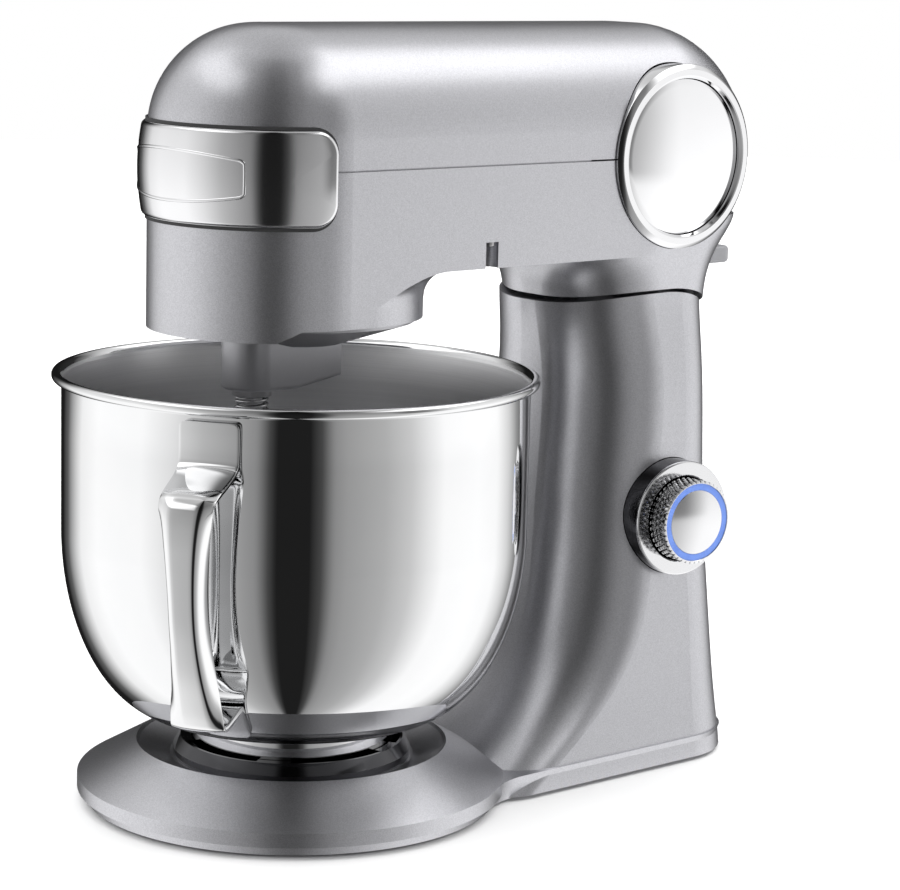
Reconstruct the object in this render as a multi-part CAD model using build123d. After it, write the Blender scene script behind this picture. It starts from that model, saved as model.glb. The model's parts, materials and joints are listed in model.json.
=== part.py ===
from build123d import *
import os
from math import asin, cos, pi, radians, sin, sqrt

# Tilt-head stand mixer. Millimetres, +Z up, nose towards -Y, speed knob on +X, table at Z = 0.
# Every piece is drawn with the bowl's axis on X = Y = 0. FRAME_SHIFT_Y then moves the whole mixer
# so that the row's origin is the middle of its footprint.

os.makedirs("parts", exist_ok=True)

# ---------------------------------------------------------------- driving dimensions
OVERALL_HEIGHT = 360.0
FRAME_SHIFT_Y = -74.5

# head
HEAD_HALF_WIDTH = 57.0
NOSE_CENTRE_Y = -15.0
HEAD_CROWN_RADIUS = 48.0
HEAD_REAR_RADIUS = 62.0
HEAD_REAR_Y = 259.0
COVER_SEAM_GAP = 0.8
COVER_WALL = 2.5
HOUSING_WALL = 3.0
SKIRT_FRONT_Z = 223.4
SKIRT_REAR_Z = 228.5
ARCH_Z = 251.0
ARCH_FLARE_RADIUS = 14.0

# stand
BASE_RADIUS = 100.0
BASE_EDGE_HEIGHT = 12.5
BASE_UNDERCUT = 4.0
BASE_HALF_WIDTH_REAR = 74.0
BASE_CLEARANCE = 1.5
CASTING_WALL = 3.5
COLUMN_FRONT_Y = 145.0
COLUMN_REAR_Y = 231.0
COLUMN_HALF_WIDTH = 48.0
RECESS_LIP_RADIUS = 72.6
RECESS_LIP_Z = 28.0
RECESS_FLOOR_Z = 21.5

# tilt joint
PIVOT_Y = 192.0
PIVOT_Z = 160.0
DECK_RADIUS = 71.0
TILT_GAP = 2.0
TILT_LIMIT = 38.0
TILT_PIN_RADIUS = 5.0
ARM_INNER_X = 14.0
ARM_THICKNESS = 6.0

# bowl
BOWL_RADIUS = 107.5
BOWL_RIM_Z = 202.0
BOWL_BEAD_RADIUS = 2.2
BOWL_WALL = 1.2
BOWL_CURVE_TOP_Z = 129.0
BOWL_CURVE_WIDTH = 48.7
BOWL_BOTTOM_Z = 42.3
BOWL_FOOT_RADIUS = 47.0
HANDLE_AZIMUTH = 32.4
HANDLE_WIDTH = 27.0
HANDLE_SHEET = 2.5

# planetary drive
PLANET_OFFSET = 26.0
RING_TEETH = 78
PLANET_TEETH = 26
PLANET_MODULE = 1.0
CARRIER_TEETH = 48
INPUT_TEETH = 12
DRIVE_MODULE = 1.5
CARRIER_SHAFT_RADIUS = 7.0
INPUT_SHAFT_RADIUS = 5.0
BEATER_SHAFT_RADIUS = 6.0
BEATER_SHAFT_TIP_Z = 150.0
HUB_RADIUS = 53.2
HUB_ARM_RADIUS = 14.0
HUB_ARM_BOTTOM_Z = 196.0

# motor and belt
MOTOR_Y = 156.0
MOTOR_RADIUS = 37.0
MOTOR_SHAFT_RADIUS = 4.0
MOTOR_PULLEY_RADIUS = 9.0
INPUT_PULLEY_RADIUS = 32.0
BELT_WIDTH = 9.0
BELT_THICKNESS = 2.0
BELT_Z = 320.0

# front power outlet
OUTLET_Z = 295.0
OUTLET_BORE_RADIUS = 12.0
OUTLET_BARREL_RADIUS = 16.0
OUTLET_SHAFT_RADIUS = 7.0
OUTLET_SOCKET_DEPTH = 20.0
BEVEL_TEETH = 16
BEVEL_MODULE = 1.25

# trim
DISC_Y = 187.7
DISC_RADIUS = 44.3
DISC_RIM_WIDTH = 7.0
DISC_PROUD = 3.0
PORT_COVER_HALF_HEIGHT = 21.0
PORT_COVER_END_Y = -25.0
PORT_COVER_PROUD = 4.3

# speed dial
DIAL_Y = 189.6
DIAL_Z = 121.7
DIAL_FACE_X = 64.9
DIAL_TURN = 5.5
KNOB_RADIUS = 20.5
KNOB_FIT = 0.6
BEZEL_RIM_WIDTH = 7.2
KNOB_PROJECTION = 11.1
KNOB_FLUTES = 44

# release lever
LEVER_PIVOT_Y = 224.0
LEVER_PIVOT_Z = 243.0
LEVER_TIP_Y = 274.0
LEVER_HALF_WIDTH = 11.0

# fits
RUNNING_FIT = 0.05
SEAT_FIT = 0.02
MOVING_GAP = 0.4

# ---------------------------------------------------------------- worked out from the above
NOSE_RADIUS = HEAD_HALF_WIDTH
NOSE_FRONT_Y = NOSE_CENTRE_Y - NOSE_RADIUS
DISC_Z = OVERALL_HEIGHT - HEAD_REAR_RADIUS
SEAM_Z = DISC_Z
REAR_CENTRE_Y = HEAD_REAR_Y - HEAD_REAR_RADIUS
INPUT_Y = DRIVE_MODULE * (CARRIER_TEETH + INPUT_TEETH) / 2
MIRROR_RADIUS = DISC_RADIUS - DISC_RIM_WIDTH
BEZEL_RADIUS = KNOB_RADIUS + KNOB_FIT + BEZEL_RIM_WIDTH
X_AXIS = Vector(1, 0, 0)


# ---------------------------------------------------------------- helpers
def save(name, shape):
    """Writes one named piece, moved into the row frame."""
    solids = [Pos(0, FRAME_SHIFT_Y, 0) * s for s in shape.solids()]
    export_step(solids[0] if len(solids) == 1 else Compound(solids), f"parts/{name}.step")


def block(x0, x1, y0, y1, z0, z1):
    """A box given by its two corners."""
    return Pos((x0 + x1) / 2, (y0 + y1) / 2, (z0 + z1) / 2) * Box(x1 - x0, y1 - y0, z1 - z0)


def drum(radius, z0, z1, x=0.0, y=0.0):
    """An upright cylinder between two heights."""
    return Pos(x, y, (z0 + z1) / 2) * Cylinder(radius, z1 - z0)


def tube(outer, inner, z0, z1, x=0.0, y=0.0):
    """An upright tube between two heights."""
    return drum(outer, z0, z1, x, y) - drum(inner, z0 - 1, z1 + 1, x, y)


def drum_x(radius, x0, x1, y, z):
    """A cylinder along X."""
    return Pos((x0 + x1) / 2, y, z) * Rot(0, 90, 0) * Cylinder(radius, x1 - x0)


def drum_y(radius, y0, y1, x, z):
    """A cylinder along Y."""
    return Pos(x, (y0 + y1) / 2, z) * Rot(90, 0, 0) * Cylinder(radius, y1 - y0)


def turned(points):
    """A solid of revolution about Z from an (r, z) outline."""
    return revolve(make_face(Plane.XZ * Polyline(*points, close=True)), Axis.Z)


def side_plate(points, x0, x1):
    """A plate between two X values from a (y, z) outline."""
    face = make_face(Plane.YZ * Polyline(*points, close=True))
    return Pos(x0, 0, 0) * extrude(face, amount=x1 - x0, dir=X_AXIS)


def slab(sketch, z0, z1):
    """A flat plan outline given height."""
    return Pos(0, 0, z0) * extrude(sketch, amount=z1 - z0)


def both_sides(solid):
    """The solid with its mirror image across X = 0."""
    return solid + mirror(solid, Plane.YZ)


def screw(head_radius, head_height, shank_radius, length):
    """A pan-head screw, its head's underside at the origin and its shank down -Z, with a hex socket."""
    body = drum(head_radius, 0, head_height) + drum(shank_radius, -length, 0)
    body = fillet(body.edges().group_by(Axis.Z)[-1], head_height * 0.4)
    return body - slab(RegularPolygon(head_radius * 0.5, 6), head_height * 0.4, head_height + 1)


def domed_disc(radius, low, edge, rise):
    """A flat-backed disc whose top is a shallow spherical dome."""
    sphere_radius = (radius * radius + rise * rise) / (2 * rise)
    ball = Pos(0, 0, edge + rise - sphere_radius) * Sphere(sphere_radius)
    return drum(radius, low, edge + rise + 1) & ball


def coil_stack(radius, wire, turns, z0, z1):
    """A closed coil spring, drawn as its stack of coils around a thin sleeve."""
    pitch = (z1 - z0) / turns
    body = tube(radius, radius - wire, z0, z1)
    for i in range(turns):
        ring = Pos(0, 0, z0 + pitch * (i + 0.5)) * Torus(radius, wire * 0.42)
        body = body + ring
    return body


# ---------------------------------------------------------------- seam between head and column
def seam_region(gap, above=True):
    """The side outline above (or below) the seam, whose rear part is an arc about the tilt pin."""
    radius = DECK_RADIUS + gap
    crest = (PIVOT_Y, PIVOT_Z + radius)
    tail_angle = radians(50)
    half_angle = tail_angle / 2
    tail = (PIVOT_Y + radius * sin(tail_angle), PIVOT_Z + radius * cos(tail_angle))
    middle = (PIVOT_Y + radius * sin(half_angle), PIVOT_Z + radius * cos(half_angle))
    front = [(165, 229.6 + gap), (138, 225.0 + gap), (100, 223.5 + gap)]
    rear_arc = ThreePointArc(tail, middle, crest)
    front_curve = Spline(crest, *front, tangents=[(-1, 0), (-1, 0)])
    far = OVERALL_HEIGHT + 40 if above else -40
    rest = Polyline(front[-1], (100, far), (tail[0] + 60, far), (tail[0] + 60, tail[1]), tail)
    face = make_face(Plane.YZ * (Curve() + [rear_arc, front_curve, rest]))
    return extrude(face, amount=120, both=True)


def rounded_plan(z, half_width, front_y, rear_y, front_radius, rear_radius):
    """A column section: a rectangle whose front and rear corners have their own radii."""
    face = Pos(0, (front_y + rear_y) / 2) * Rectangle(2 * half_width, rear_y - front_y)
    rows = face.vertices().group_by(Axis.Y)
    face = fillet(rows[-1], rear_radius)
    rows = face.vertices().group_by(Axis.Y)
    face = fillet(rows[0], front_radius)
    return Pos(0, 0, z) * face


# ---------------------------------------------------------------- head volume
def head_plan(inset):
    """The head seen from above: a round nose and straight sides, open-ended at the rear."""
    plan = Pos(0, NOSE_CENTRE_Y) * Circle(NOSE_RADIUS - inset)
    return plan + Pos(0, NOSE_CENTRE_Y + 200) * Rectangle(2 * (HEAD_HALF_WIDTH - inset), 400)


def bridge_volume(inset):
    """The long upper body of the head, with its crown rounded all round."""
    top = OVERALL_HEIGHT - inset
    bottom = ARCH_Z + inset
    radius = HEAD_REAR_RADIUS - inset
    low = asin((DISC_Z - bottom) / radius)
    rear_foot = (REAR_CENTRE_Y + radius * cos(low), bottom)
    rear_mid = (REAR_CENTRE_Y + radius * cos(low - pi / 2 * 0.9), DISC_Z + radius * sin(pi / 2 * 0.9 - low))
    front = NOSE_FRONT_Y - 20
    outline = Polyline(rear_foot, (front, bottom), (front, top), (REAR_CENTRE_Y, top))
    rear = ThreePointArc((REAR_CENTRE_Y, top), rear_mid, rear_foot)
    side = make_face(Plane.YZ * (Curve() + [outline, rear]))
    body = extrude(side, amount=HEAD_HALF_WIDTH - inset, both=True)
    body = body & slab(head_plan(inset), ARCH_Z - 50, OVERALL_HEIGHT + 10)
    crown = body.edges().filter_by(lambda e: e.center().Z > bottom + 1)
    crown = crown.filter_by(lambda e: e.geom_type != GeomType.LINE or abs((e % 0.5).Y) > 0.9)
    crown = crown.filter_by(lambda e: e.center().Z > top - 0.1 or e.center().Y > REAR_CENTRE_Y)
    return fillet(crown, HEAD_CROWN_RADIUS - inset)


def nose_volume(inset, bottom):
    """The lower nose around the planetary drive, flaring into the arch behind it."""
    radius = NOSE_RADIUS - inset
    plan = Circle(radius) + Pos(0, NOSE_CENTRE_Y) * Circle(radius)
    plan += Pos(0, NOSE_CENTRE_Y / 2) * Rectangle(2 * radius, -NOSE_CENTRE_Y)
    body = slab(plan, bottom, ARCH_Z + inset + 5)
    flare = ARCH_FLARE_RADIUS
    low = ARCH_Z + inset - flare
    bend = 1 - sqrt(0.5)
    edge = ThreePointArc((radius, low), (radius + flare * bend, low + flare * (1 - bend)),
                         (radius + flare, low + flare))
    rest = Polyline((radius + flare, low + flare), (radius + flare, low + flare + 3),
                    (radius - 8, low + flare + 3),
                    (radius - 8, low), (radius, low))
    ring = revolve(make_face(Plane.XZ * (Curve() + [edge, rest])), Axis.Z)
    return body + (ring & block(-radius, radius, 0, 120, low - 1, low + flare + 4))


def neck_volume(inset):
    """The neck under the rear of the head, which flares up into it like a trumpet."""
    sections = [
        rounded_plan(210, COLUMN_HALF_WIDTH - inset, COLUMN_FRONT_Y + inset, COLUMN_REAR_Y - inset, 42, 28),
        rounded_plan(228, COLUMN_HALF_WIDTH + 0.3 - inset, COLUMN_FRONT_Y + inset, COLUMN_REAR_Y + 0.3
                     - inset, 42, 28),
        rounded_plan(241, 50.5 - inset, 142 + inset, 232.5 - inset, 42, 29),
        rounded_plan(254, 54.5 - inset, 130 + inset, 237 - inset, 43, 31),
        rounded_plan(268, 56.4 - inset, 105 + inset, 246 - inset, 45, 34),
    ]
    return loft(sections)


def head_volume(inset, nose_bottom):
    """Everything the head's outer skin encloses, drawn in by an inset."""
    body = bridge_volume(inset) + nose_volume(inset, nose_bottom)
    return body + neck_volume(inset)


# ---------------------------------------------------------------- head shells
def upper_half(z):
    """Everything above a height."""
    return block(-200, 200, -300, 500, z, 600)


def lower_half(z):
    """Everything below a height."""
    return block(-200, 200, -300, 500, -200, z)


LIP_WALL = 1.5
LIP_FIT = 0.2
LIP_HEIGHT = 4.0
DISC_POCKET_RADIUS = DISC_RADIUS + 0.3
DISC_BACK_X = 43.0
PORT_HOLE_RADIUS = OUTLET_BARREL_RADIUS + 0.4
LEDGE_TOP_Z = 254.0
HINGE_PLATE_Z = 238.0
HINGE_PLATE_THICKNESS = 4.0
CASE_SCREW_Y = 67.0
CASE_SCREW_X = 54.0
CASE_SCREW_SEAT_Z = 263.0
LEVER_RIB_X = 14.0
LEVER_RIB_THICKNESS = 4.0
LEVER_PIN_RADIUS = 2.0
HINGE_SCREW_PLACES = [(x, y) for x in (-34, 34) for y in (170, 194)]
MOTOR_SCREW_PLACES = [(-37, 181), (37, 181)]
M4_HEAD_RADIUS = 3.6
M4_HEAD_HEIGHT = 1.5
M4_SHANK_RADIUS = 2.0
M4_HOLE_RADIUS = 2.1

disc_pockets = drum_x(DISC_POCKET_RADIUS, -100, 100, DISC_Y, DISC_Z) - drum_x(
    DISC_POCKET_RADIUS, -DISC_BACK_X + 0.5, DISC_BACK_X - 0.5, DISC_Y, DISC_Z)
port_hole = drum_y(PORT_HOLE_RADIUS, NOSE_FRONT_Y - 5, NOSE_FRONT_Y + 20, 0, OUTLET_Z)

outer_head = head_volume(0, SKIRT_FRONT_Z) - seam_region(TILT_GAP, above=False)
cover_void = head_volume(COVER_WALL, SKIRT_FRONT_Z - 40)
housing_void = head_volume(HOUSING_WALL, SKIRT_FRONT_Z - 40)

head_top_cover = (outer_head & upper_half(SEAM_Z + COVER_SEAM_GAP / 2)) - cover_void
head_top_cover = head_top_cover - disc_pockets - port_hole
save("head_top_cover", head_top_cover)

step = side_plate([(-48, SKIRT_FRONT_Z - 3), (-48, SKIRT_FRONT_Z), (-38, SKIRT_REAR_Z), (75, SKIRT_REAR_Z),
                   (75, SKIRT_FRONT_Z - 3)], -HEAD_HALF_WIDTH - 5, HEAD_HALF_WIDTH + 5)
ledges = both_sides(block(30, 56, 158, 204, HINGE_PLATE_Z + HINGE_PLATE_THICKNESS, LEDGE_TOP_Z))
screw_bosses = both_sides(block(44, 56, CASE_SCREW_Y - 8, CASE_SCREW_Y + 8, ARCH_Z + 1,
                                CASE_SCREW_SEAT_Z + 4))
lever_ribs = both_sides(block(LEVER_RIB_X, LEVER_RIB_X + LEVER_RIB_THICKNESS, 217, COLUMN_REAR_Y,
                              LEVER_PIVOT_Z - 6, LEVER_PIVOT_Z + 7))
seam_lip = head_plan(COVER_WALL + LIP_FIT) - head_plan(COVER_WALL + LIP_FIT + LIP_WALL)
seam_lip = slab(seam_lip, SEAM_Z - LIP_HEIGHT, SEAM_Z + LIP_HEIGHT) & block(-100, 100, -100, 130, 0, 400)
lower_shell = (outer_head & lower_half(SEAM_Z - COVER_SEAM_GAP / 2)) - housing_void
fittings = (ledges + screw_bosses + lever_ribs) & outer_head
head_lower_housing = lower_shell + fittings + seam_lip
case_screw_holes = both_sides(drum(4.8, ARCH_Z - 10, CASE_SCREW_SEAT_Z, CASE_SCREW_X, CASE_SCREW_Y))
case_screw_holes += both_sides(drum(1.5 + SEAT_FIT, CASE_SCREW_SEAT_Z - 1, CASE_SCREW_SEAT_Z + 8,
                                    CASE_SCREW_X, CASE_SCREW_Y))
lever_slot = block(-LEVER_HALF_WIDTH - 1, LEVER_HALF_WIDTH + 1, 221, 240, LEVER_PIVOT_Z - 10,
                   LEVER_PIVOT_Z + 8)
lever_pin_hole = drum_x(LEVER_PIN_RADIUS + SEAT_FIT, -30, 30, LEVER_PIVOT_Y, LEVER_PIVOT_Z)
head_lower_housing = head_lower_housing - step - case_screw_holes - lever_slot - lever_pin_hole
head_lower_housing = head_lower_housing - disc_pockets - port_hole
hinge_screw_holes = [drum(M4_HOLE_RADIUS, HINGE_PLATE_Z - 5, LEDGE_TOP_Z - 2, x, y)
                     for x, y in HINGE_SCREW_PLACES]
motor_screw_holes = [drum(M4_HOLE_RADIUS, LEDGE_TOP_Z - 8, LEDGE_TOP_Z + 1, x, y)
                     for x, y in MOTOR_SCREW_PLACES]
head_lower_housing = head_lower_housing - hinge_screw_holes - motor_screw_holes
save("head_lower_housing", head_lower_housing)

# ---------------------------------------------------------------- hinge bracket, pin and clips
ARM_OUTER_X = ARM_INNER_X + ARM_THICKNESS
ARM_BOSS_RADIUS = 11.0
ARM_FRONT_ANGLE = radians(31)
ARM_REAR_ANGLE = radians(12.5)
SLOT_FRONT_ANGLE = radians(33)
SLOT_REAR_ANGLE = radians(27.5)


def polar(radius, forward_angle):
    """A (y, z) point at a radius and a forward lean about the tilt pin."""
    return (PIVOT_Y - radius * sin(forward_angle), PIVOT_Z + radius * cos(forward_angle))


arm_root_z = HINGE_PLATE_Z + 1
arm_outline = [polar(ARM_BOSS_RADIUS, radians(75)), polar(DECK_RADIUS - 4, ARM_FRONT_ANGLE),
               (157, arm_root_z),
               (178, arm_root_z), polar(DECK_RADIUS - 4, ARM_REAR_ANGLE),
               polar(ARM_BOSS_RADIUS, radians(-75))]
arm = side_plate(arm_outline, ARM_INNER_X, ARM_OUTER_X)
arm += drum_x(ARM_BOSS_RADIUS, ARM_INNER_X, ARM_OUTER_X, PIVOT_Y, PIVOT_Z)
plate_top = HINGE_PLATE_Z + HINGE_PLATE_THICKNESS
hinge_plate = both_sides(block(11, 44, 157, 203, HINGE_PLATE_Z, plate_top))
hinge_plate += block(-12, 12, 157, 165, HINGE_PLATE_Z, plate_top)
neck_room = rounded_plan(0, COLUMN_HALF_WIDTH - HOUSING_WALL - 0.5, COLUMN_FRONT_Y + HOUSING_WALL + 0.5,
                         COLUMN_REAR_Y - HOUSING_WALL - 0.5, 42, 28)
hinge_plate = hinge_plate & slab(neck_room, HINGE_PLATE_Z - 1, plate_top + 1)
hinge_bracket = hinge_plate + both_sides(arm)
hinge_bracket = hinge_bracket - drum_x(TILT_PIN_RADIUS + RUNNING_FIT, -50, 50, PIVOT_Y, PIVOT_Z)
hinge_bracket = hinge_bracket - [drum(2.3, HINGE_PLATE_Z - 5, plate_top + 1, x, y)
                                 for x, y in HINGE_SCREW_PLACES]
save("hinge_bracket", hinge_bracket)

WEB_INNER_X = ARM_OUTER_X + 2.0
WEB_OUTER_X = WEB_INNER_X + 6.0
PIN_HALF_LENGTH = WEB_OUTER_X + 3.5
CLIP_GROOVE_DEPTH = 0.8
CLIP_X = WEB_OUTER_X + 0.6
tilt_pin = drum_x(TILT_PIN_RADIUS, -PIN_HALF_LENGTH, PIN_HALF_LENGTH, PIVOT_Y, PIVOT_Z)
clip_slot = drum_x(9, CLIP_X, CLIP_X + 1.2, PIVOT_Y, PIVOT_Z)
clip_slot -= drum_x(TILT_PIN_RADIUS - CLIP_GROOVE_DEPTH, CLIP_X - 1, CLIP_X + 3, PIVOT_Y, PIVOT_Z)
tilt_pin = tilt_pin - both_sides(clip_slot)
save("tilt_pin", tilt_pin)
clip = drum_x(7.5, CLIP_X + 0.1, CLIP_X + 1.1, PIVOT_Y, PIVOT_Z)
clip -= drum_x(TILT_PIN_RADIUS - CLIP_GROOVE_DEPTH + SEAT_FIT, CLIP_X - 1, CLIP_X + 3, PIVOT_Y, PIVOT_Z)
clip -= block(CLIP_X - 1, CLIP_X + 3, PIVOT_Y - 3, PIVOT_Y + 3, PIVOT_Z, PIVOT_Z + 10)
save("tilt_pin_clips", both_sides(clip))

# ---------------------------------------------------------------- stand casting
WEB_BOSS_RADIUS = 11.0
DIAL_AXIS = Vector(cos(radians(DIAL_TURN)), -sin(radians(DIAL_TURN)), 0)
DIAL_PLANE = Plane(origin=(DIAL_FACE_X, DIAL_Y, DIAL_Z), z_dir=DIAL_AXIS, x_dir=(0, 0, 1))


def dial_drum(radius, near, far):
    """A cylinder on the dial's axis, between two distances out from the bezel's face."""
    return DIAL_PLANE * Pos(0, 0, (near + far) / 2) * Cylinder(radius, far - near)


def column_volume(inset):
    """The column, which widens and sweeps forward into the base."""
    w = COLUMN_HALF_WIDTH - inset
    front = COLUMN_FRONT_Y + inset
    rear = COLUMN_REAR_Y - inset
    sections = [
        rounded_plan(2, w + 26, 58 + inset, rear + 5, 30, 40),
        rounded_plan(14, w + 24, 72 + inset, rear + 4.5, 34, 39),
        rounded_plan(32, w + 20, 96 + inset, rear + 3.8, 38, 37),
        rounded_plan(60, w + 15, front - 24, rear + 2.8, 41, 34),
        rounded_plan(100, w + 9.5, front - 10, rear + 1.8, 42, 32),
        rounded_plan(150, w + 5, front - 3, rear + 0.8, 42, 30),
        rounded_plan(200, w + 1, front, rear, 42, 28),
        rounded_plan(246, w, front, rear, 42, 28),
    ]
    return loft(sections)


def base_plan(inset):
    """The keyhole plan of the base: a disc under the bowl and a narrower tail under the column."""
    tail_rear = COLUMN_REAR_Y + 5
    tail = Pos(0, tail_rear / 2) * Rectangle(2 * BASE_HALF_WIDTH_REAR, tail_rear)
    tail = fillet(tail.vertices().group_by(Axis.Y)[-1], 40)
    plan = Circle(BASE_RADIUS) + tail
    waist = plan.vertices().filter_by(lambda v: 40 < v.Y < 90)
    plan = fillet(waist, 40)
    return plan.face() if inset == 0 else offset(plan.face(), amount=-inset).face()


def base_slab(inset, bottom, top):
    """The low skirt of the base, which draws in towards the table."""
    high = Pos(0, 0, top) * base_plan(inset)
    low = Pos(0, 0, bottom) * base_plan(inset + BASE_UNDERCUT)
    return loft([low, high], ruled=True)


def base_cone(drop):
    """The shallow cone that rises to the recess's lip."""
    return turned([(0, 6), (BASE_RADIUS - 1.2 * drop, 6),
                   (BASE_RADIUS - 1.2 * drop, BASE_EDGE_HEIGHT - drop / 3),
                   (RECESS_LIP_RADIUS - 0.5 * drop, RECESS_LIP_Z - drop), (0, RECESS_LIP_Z - drop)])


stand_outer = base_slab(0, BASE_CLEARANCE, BASE_EDGE_HEIGHT) + base_cone(0) + column_volume(0)
recess = turned([(0, RECESS_FLOOR_Z), (57, RECESS_FLOOR_Z), (RECESS_LIP_RADIUS - 1.5, RECESS_LIP_Z - 1),
                 (RECESS_LIP_RADIUS, RECESS_LIP_Z + 0.01), (RECESS_LIP_RADIUS, 60), (0, 60)])
stand_outer = stand_outer - recess
base_void = base_slab(CASTING_WALL, BASE_CLEARANCE - 1, BASE_EDGE_HEIGHT - CASTING_WALL)
base_void += base_cone(CASTING_WALL) & block(-200, 200, -200, 90, 5, 60)
base_void -= drum(RECESS_LIP_RADIUS - 1, RECESS_FLOOR_Z - CASTING_WALL, 60)
column_void = column_volume(CASTING_WALL)
webs = both_sides(side_plate([polar(WEB_BOSS_RADIUS, radians(88)), polar(DECK_RADIUS - 1, radians(26)),
                              polar(DECK_RADIUS - 1, radians(-14)), polar(WEB_BOSS_RADIUS, radians(-88))],
                             WEB_INNER_X, WEB_OUTER_X)
                  + drum_x(WEB_BOSS_RADIUS, WEB_INNER_X, WEB_OUTER_X, PIVOT_Y, PIVOT_Z))
column_void = (column_void - seam_region(-CASTING_WALL)) - webs
slot_points = [polar(55, SLOT_FRONT_ANGLE), polar(95, SLOT_FRONT_ANGLE), polar(95, -SLOT_REAR_ANGLE),
               polar(55, -SLOT_REAR_ANGLE)]
arm_slots = both_sides(side_plate(slot_points, ARM_INNER_X - 1, ARM_OUTER_X + 1))
stand_casting = (stand_outer - seam_region(0)) - column_void - base_void - arm_slots
stand_casting -= drum_x(TILT_PIN_RADIUS + SEAT_FIT, -60, 60, PIVOT_Y, PIVOT_Z) & block(-30, 30, 170, 215,
                                                                                       140, 180)
stand_casting -= dial_drum(BEZEL_RADIUS + 0.3, -40, 20)
PLATE_SCREW_POSTS = [(-40, -72, 17.5), (40, -72, 17.5), (-70, 45, 17.5), (70, 45, 17.5),
                     (-61, 150, 24), (61, 150, 24), (-40, 221, 24), (40, 221, 24)]
FOOT_RADIUS = 9.0
FOOT_HEIGHT = 5.0
FOOT_PLACES = [(-58, -54), (58, -54), (0, -80), (-52, 200), (52, 200), (0, 70)]
PLATE_THICKNESS = 1.5
PLATE_BOTTOM = BASE_CLEARANCE + 0.5
SEAT_SCREW_PLACES = [(28 * cos(radians(a)), 28 * sin(radians(a))) for a in (30, 150, 270)]
BOARD_X = -44.0
BOARD_THICKNESS = 1.6
BOARD_POSTS = [(y, z) for y in (172, 208) for z in (63, 111)]
GLAND_X = -28.0
GLAND_Z = 32.0
GLAND_HOLE_RADIUS = 6.5
plate_posts = [drum(5.5, PLATE_BOTTOM + PLATE_THICKNESS, top, x, y) for x, y, top in PLATE_SCREW_POSTS]
board_posts = [drum_x(3.5, -80, BOARD_X - BOARD_THICKNESS, y, z) for y, z in BOARD_POSTS]
rear_ribs = [block(x - 1.5, x + 1.5, y, COLUMN_REAR_Y + 4, PLATE_BOTTOM + PLATE_THICKNESS, top)
             for x, y, top in PLATE_SCREW_POSTS[-2:]]
posts = (plate_posts[0] + plate_posts[1:] + rear_ribs + board_posts) & stand_outer
stand_casting = stand_casting + posts
stand_casting -= [drum(1.8, 0, top - 3, x, y) for x, y, top in PLATE_SCREW_POSTS]
stand_casting -= [drum(M4_HOLE_RADIUS, 10, RECESS_FLOOR_Z + 5, x, y) for x, y in SEAT_SCREW_PLACES]
stand_casting -= [drum_x(1.2, BOARD_X - 8, BOARD_X + 5, y, z) for y, z in BOARD_POSTS]
stand_casting -= drum_y(GLAND_HOLE_RADIUS, COLUMN_REAR_Y - 12, COLUMN_REAR_Y + 20, GLAND_X, GLAND_Z)
save("stand_casting", stand_casting)

# ---------------------------------------------------------------- base fittings
bottom_plate = slab(base_plan(BASE_UNDERCUT + CASTING_WALL + 0.5), PLATE_BOTTOM, PLATE_BOTTOM
                    + PLATE_THICKNESS)
foot_holes = [drum(FOOT_RADIUS - 2 + SEAT_FIT, 0, 10, x, y) for x, y in FOOT_PLACES]
plate_screw_holes = [drum(M4_HOLE_RADIUS, 0, 10, x, y) for x, y, top in PLATE_SCREW_POSTS]
bottom_plate = bottom_plate - foot_holes - plate_screw_holes
save("base_bottom_plate", bottom_plate)


def rubber_foot(x, y):
    """A foot with a groove that snaps into its hole in the bottom plate."""
    outline = [(0, 0), (FOOT_RADIUS - 1, 0), (FOOT_RADIUS, 0.8), (FOOT_RADIUS, PLATE_BOTTOM),
               (FOOT_RADIUS - 2, PLATE_BOTTOM),
               (FOOT_RADIUS - 2, PLATE_BOTTOM + PLATE_THICKNESS),
               (FOOT_RADIUS, PLATE_BOTTOM + PLATE_THICKNESS),
               (FOOT_RADIUS - 1.5, FOOT_HEIGHT), (0, FOOT_HEIGHT)]
    return Pos(x, y, 0) * turned(outline)


save("base_feet", Compound([rubber_foot(x, y) for x, y in FOOT_PLACES]))

# bowl seat: a dished steel plate with three bayonet tabs that the bowl's foot turns under
SEAT_RADIUS = 55.7
SEAT_SHEET = 1.2
TAB_COUNT = 5
TAB_HALF_ANGLE = 9.0
TAB_FIRST_AZIMUTH = 43.0
SEAT_TOP_Z = RECESS_FLOOR_Z + 8.5
FOOT_LIP_RADIUS = BOWL_FOOT_RADIUS + 3.0
seat_floor_top = RECESS_FLOOR_Z + SEAT_SHEET
seat_plate = turned([(0, RECESS_FLOOR_Z), (SEAT_RADIUS, RECESS_FLOOR_Z), (SEAT_RADIUS, RECESS_FLOOR_Z + 3.5),
                     (SEAT_RADIUS - 3.6, SEAT_TOP_Z), (SEAT_RADIUS - 4.8, SEAT_TOP_Z),
                     (SEAT_RADIUS - SEAT_SHEET, RECESS_FLOOR_Z + 3.2),
                     (SEAT_RADIUS - SEAT_SHEET, seat_floor_top),
                     (0, seat_floor_top)])


def sector(inner, outer, z0, z1, azimuth, half_angle):
    """A ring segment centred on an azimuth counted from -Y towards +X."""
    start = azimuth - half_angle - 90
    arc = Pos(0, 0, z0) * extrude(make_face(
        Curve() + [CenterArc((0, 0), outer, start, 2 * half_angle),
                   Line(Vector(outer, 0, 0).rotate(Axis.Z, start + 2 * half_angle),
                        Vector(inner, 0, 0).rotate(Axis.Z, start + 2 * half_angle)),
                   CenterArc((0, 0), inner, start, 2 * half_angle),
                   Line(Vector(inner, 0, 0).rotate(Axis.Z, start),
                        Vector(outer, 0, 0).rotate(Axis.Z, start))]),
        amount=z1 - z0)
    return arc


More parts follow.
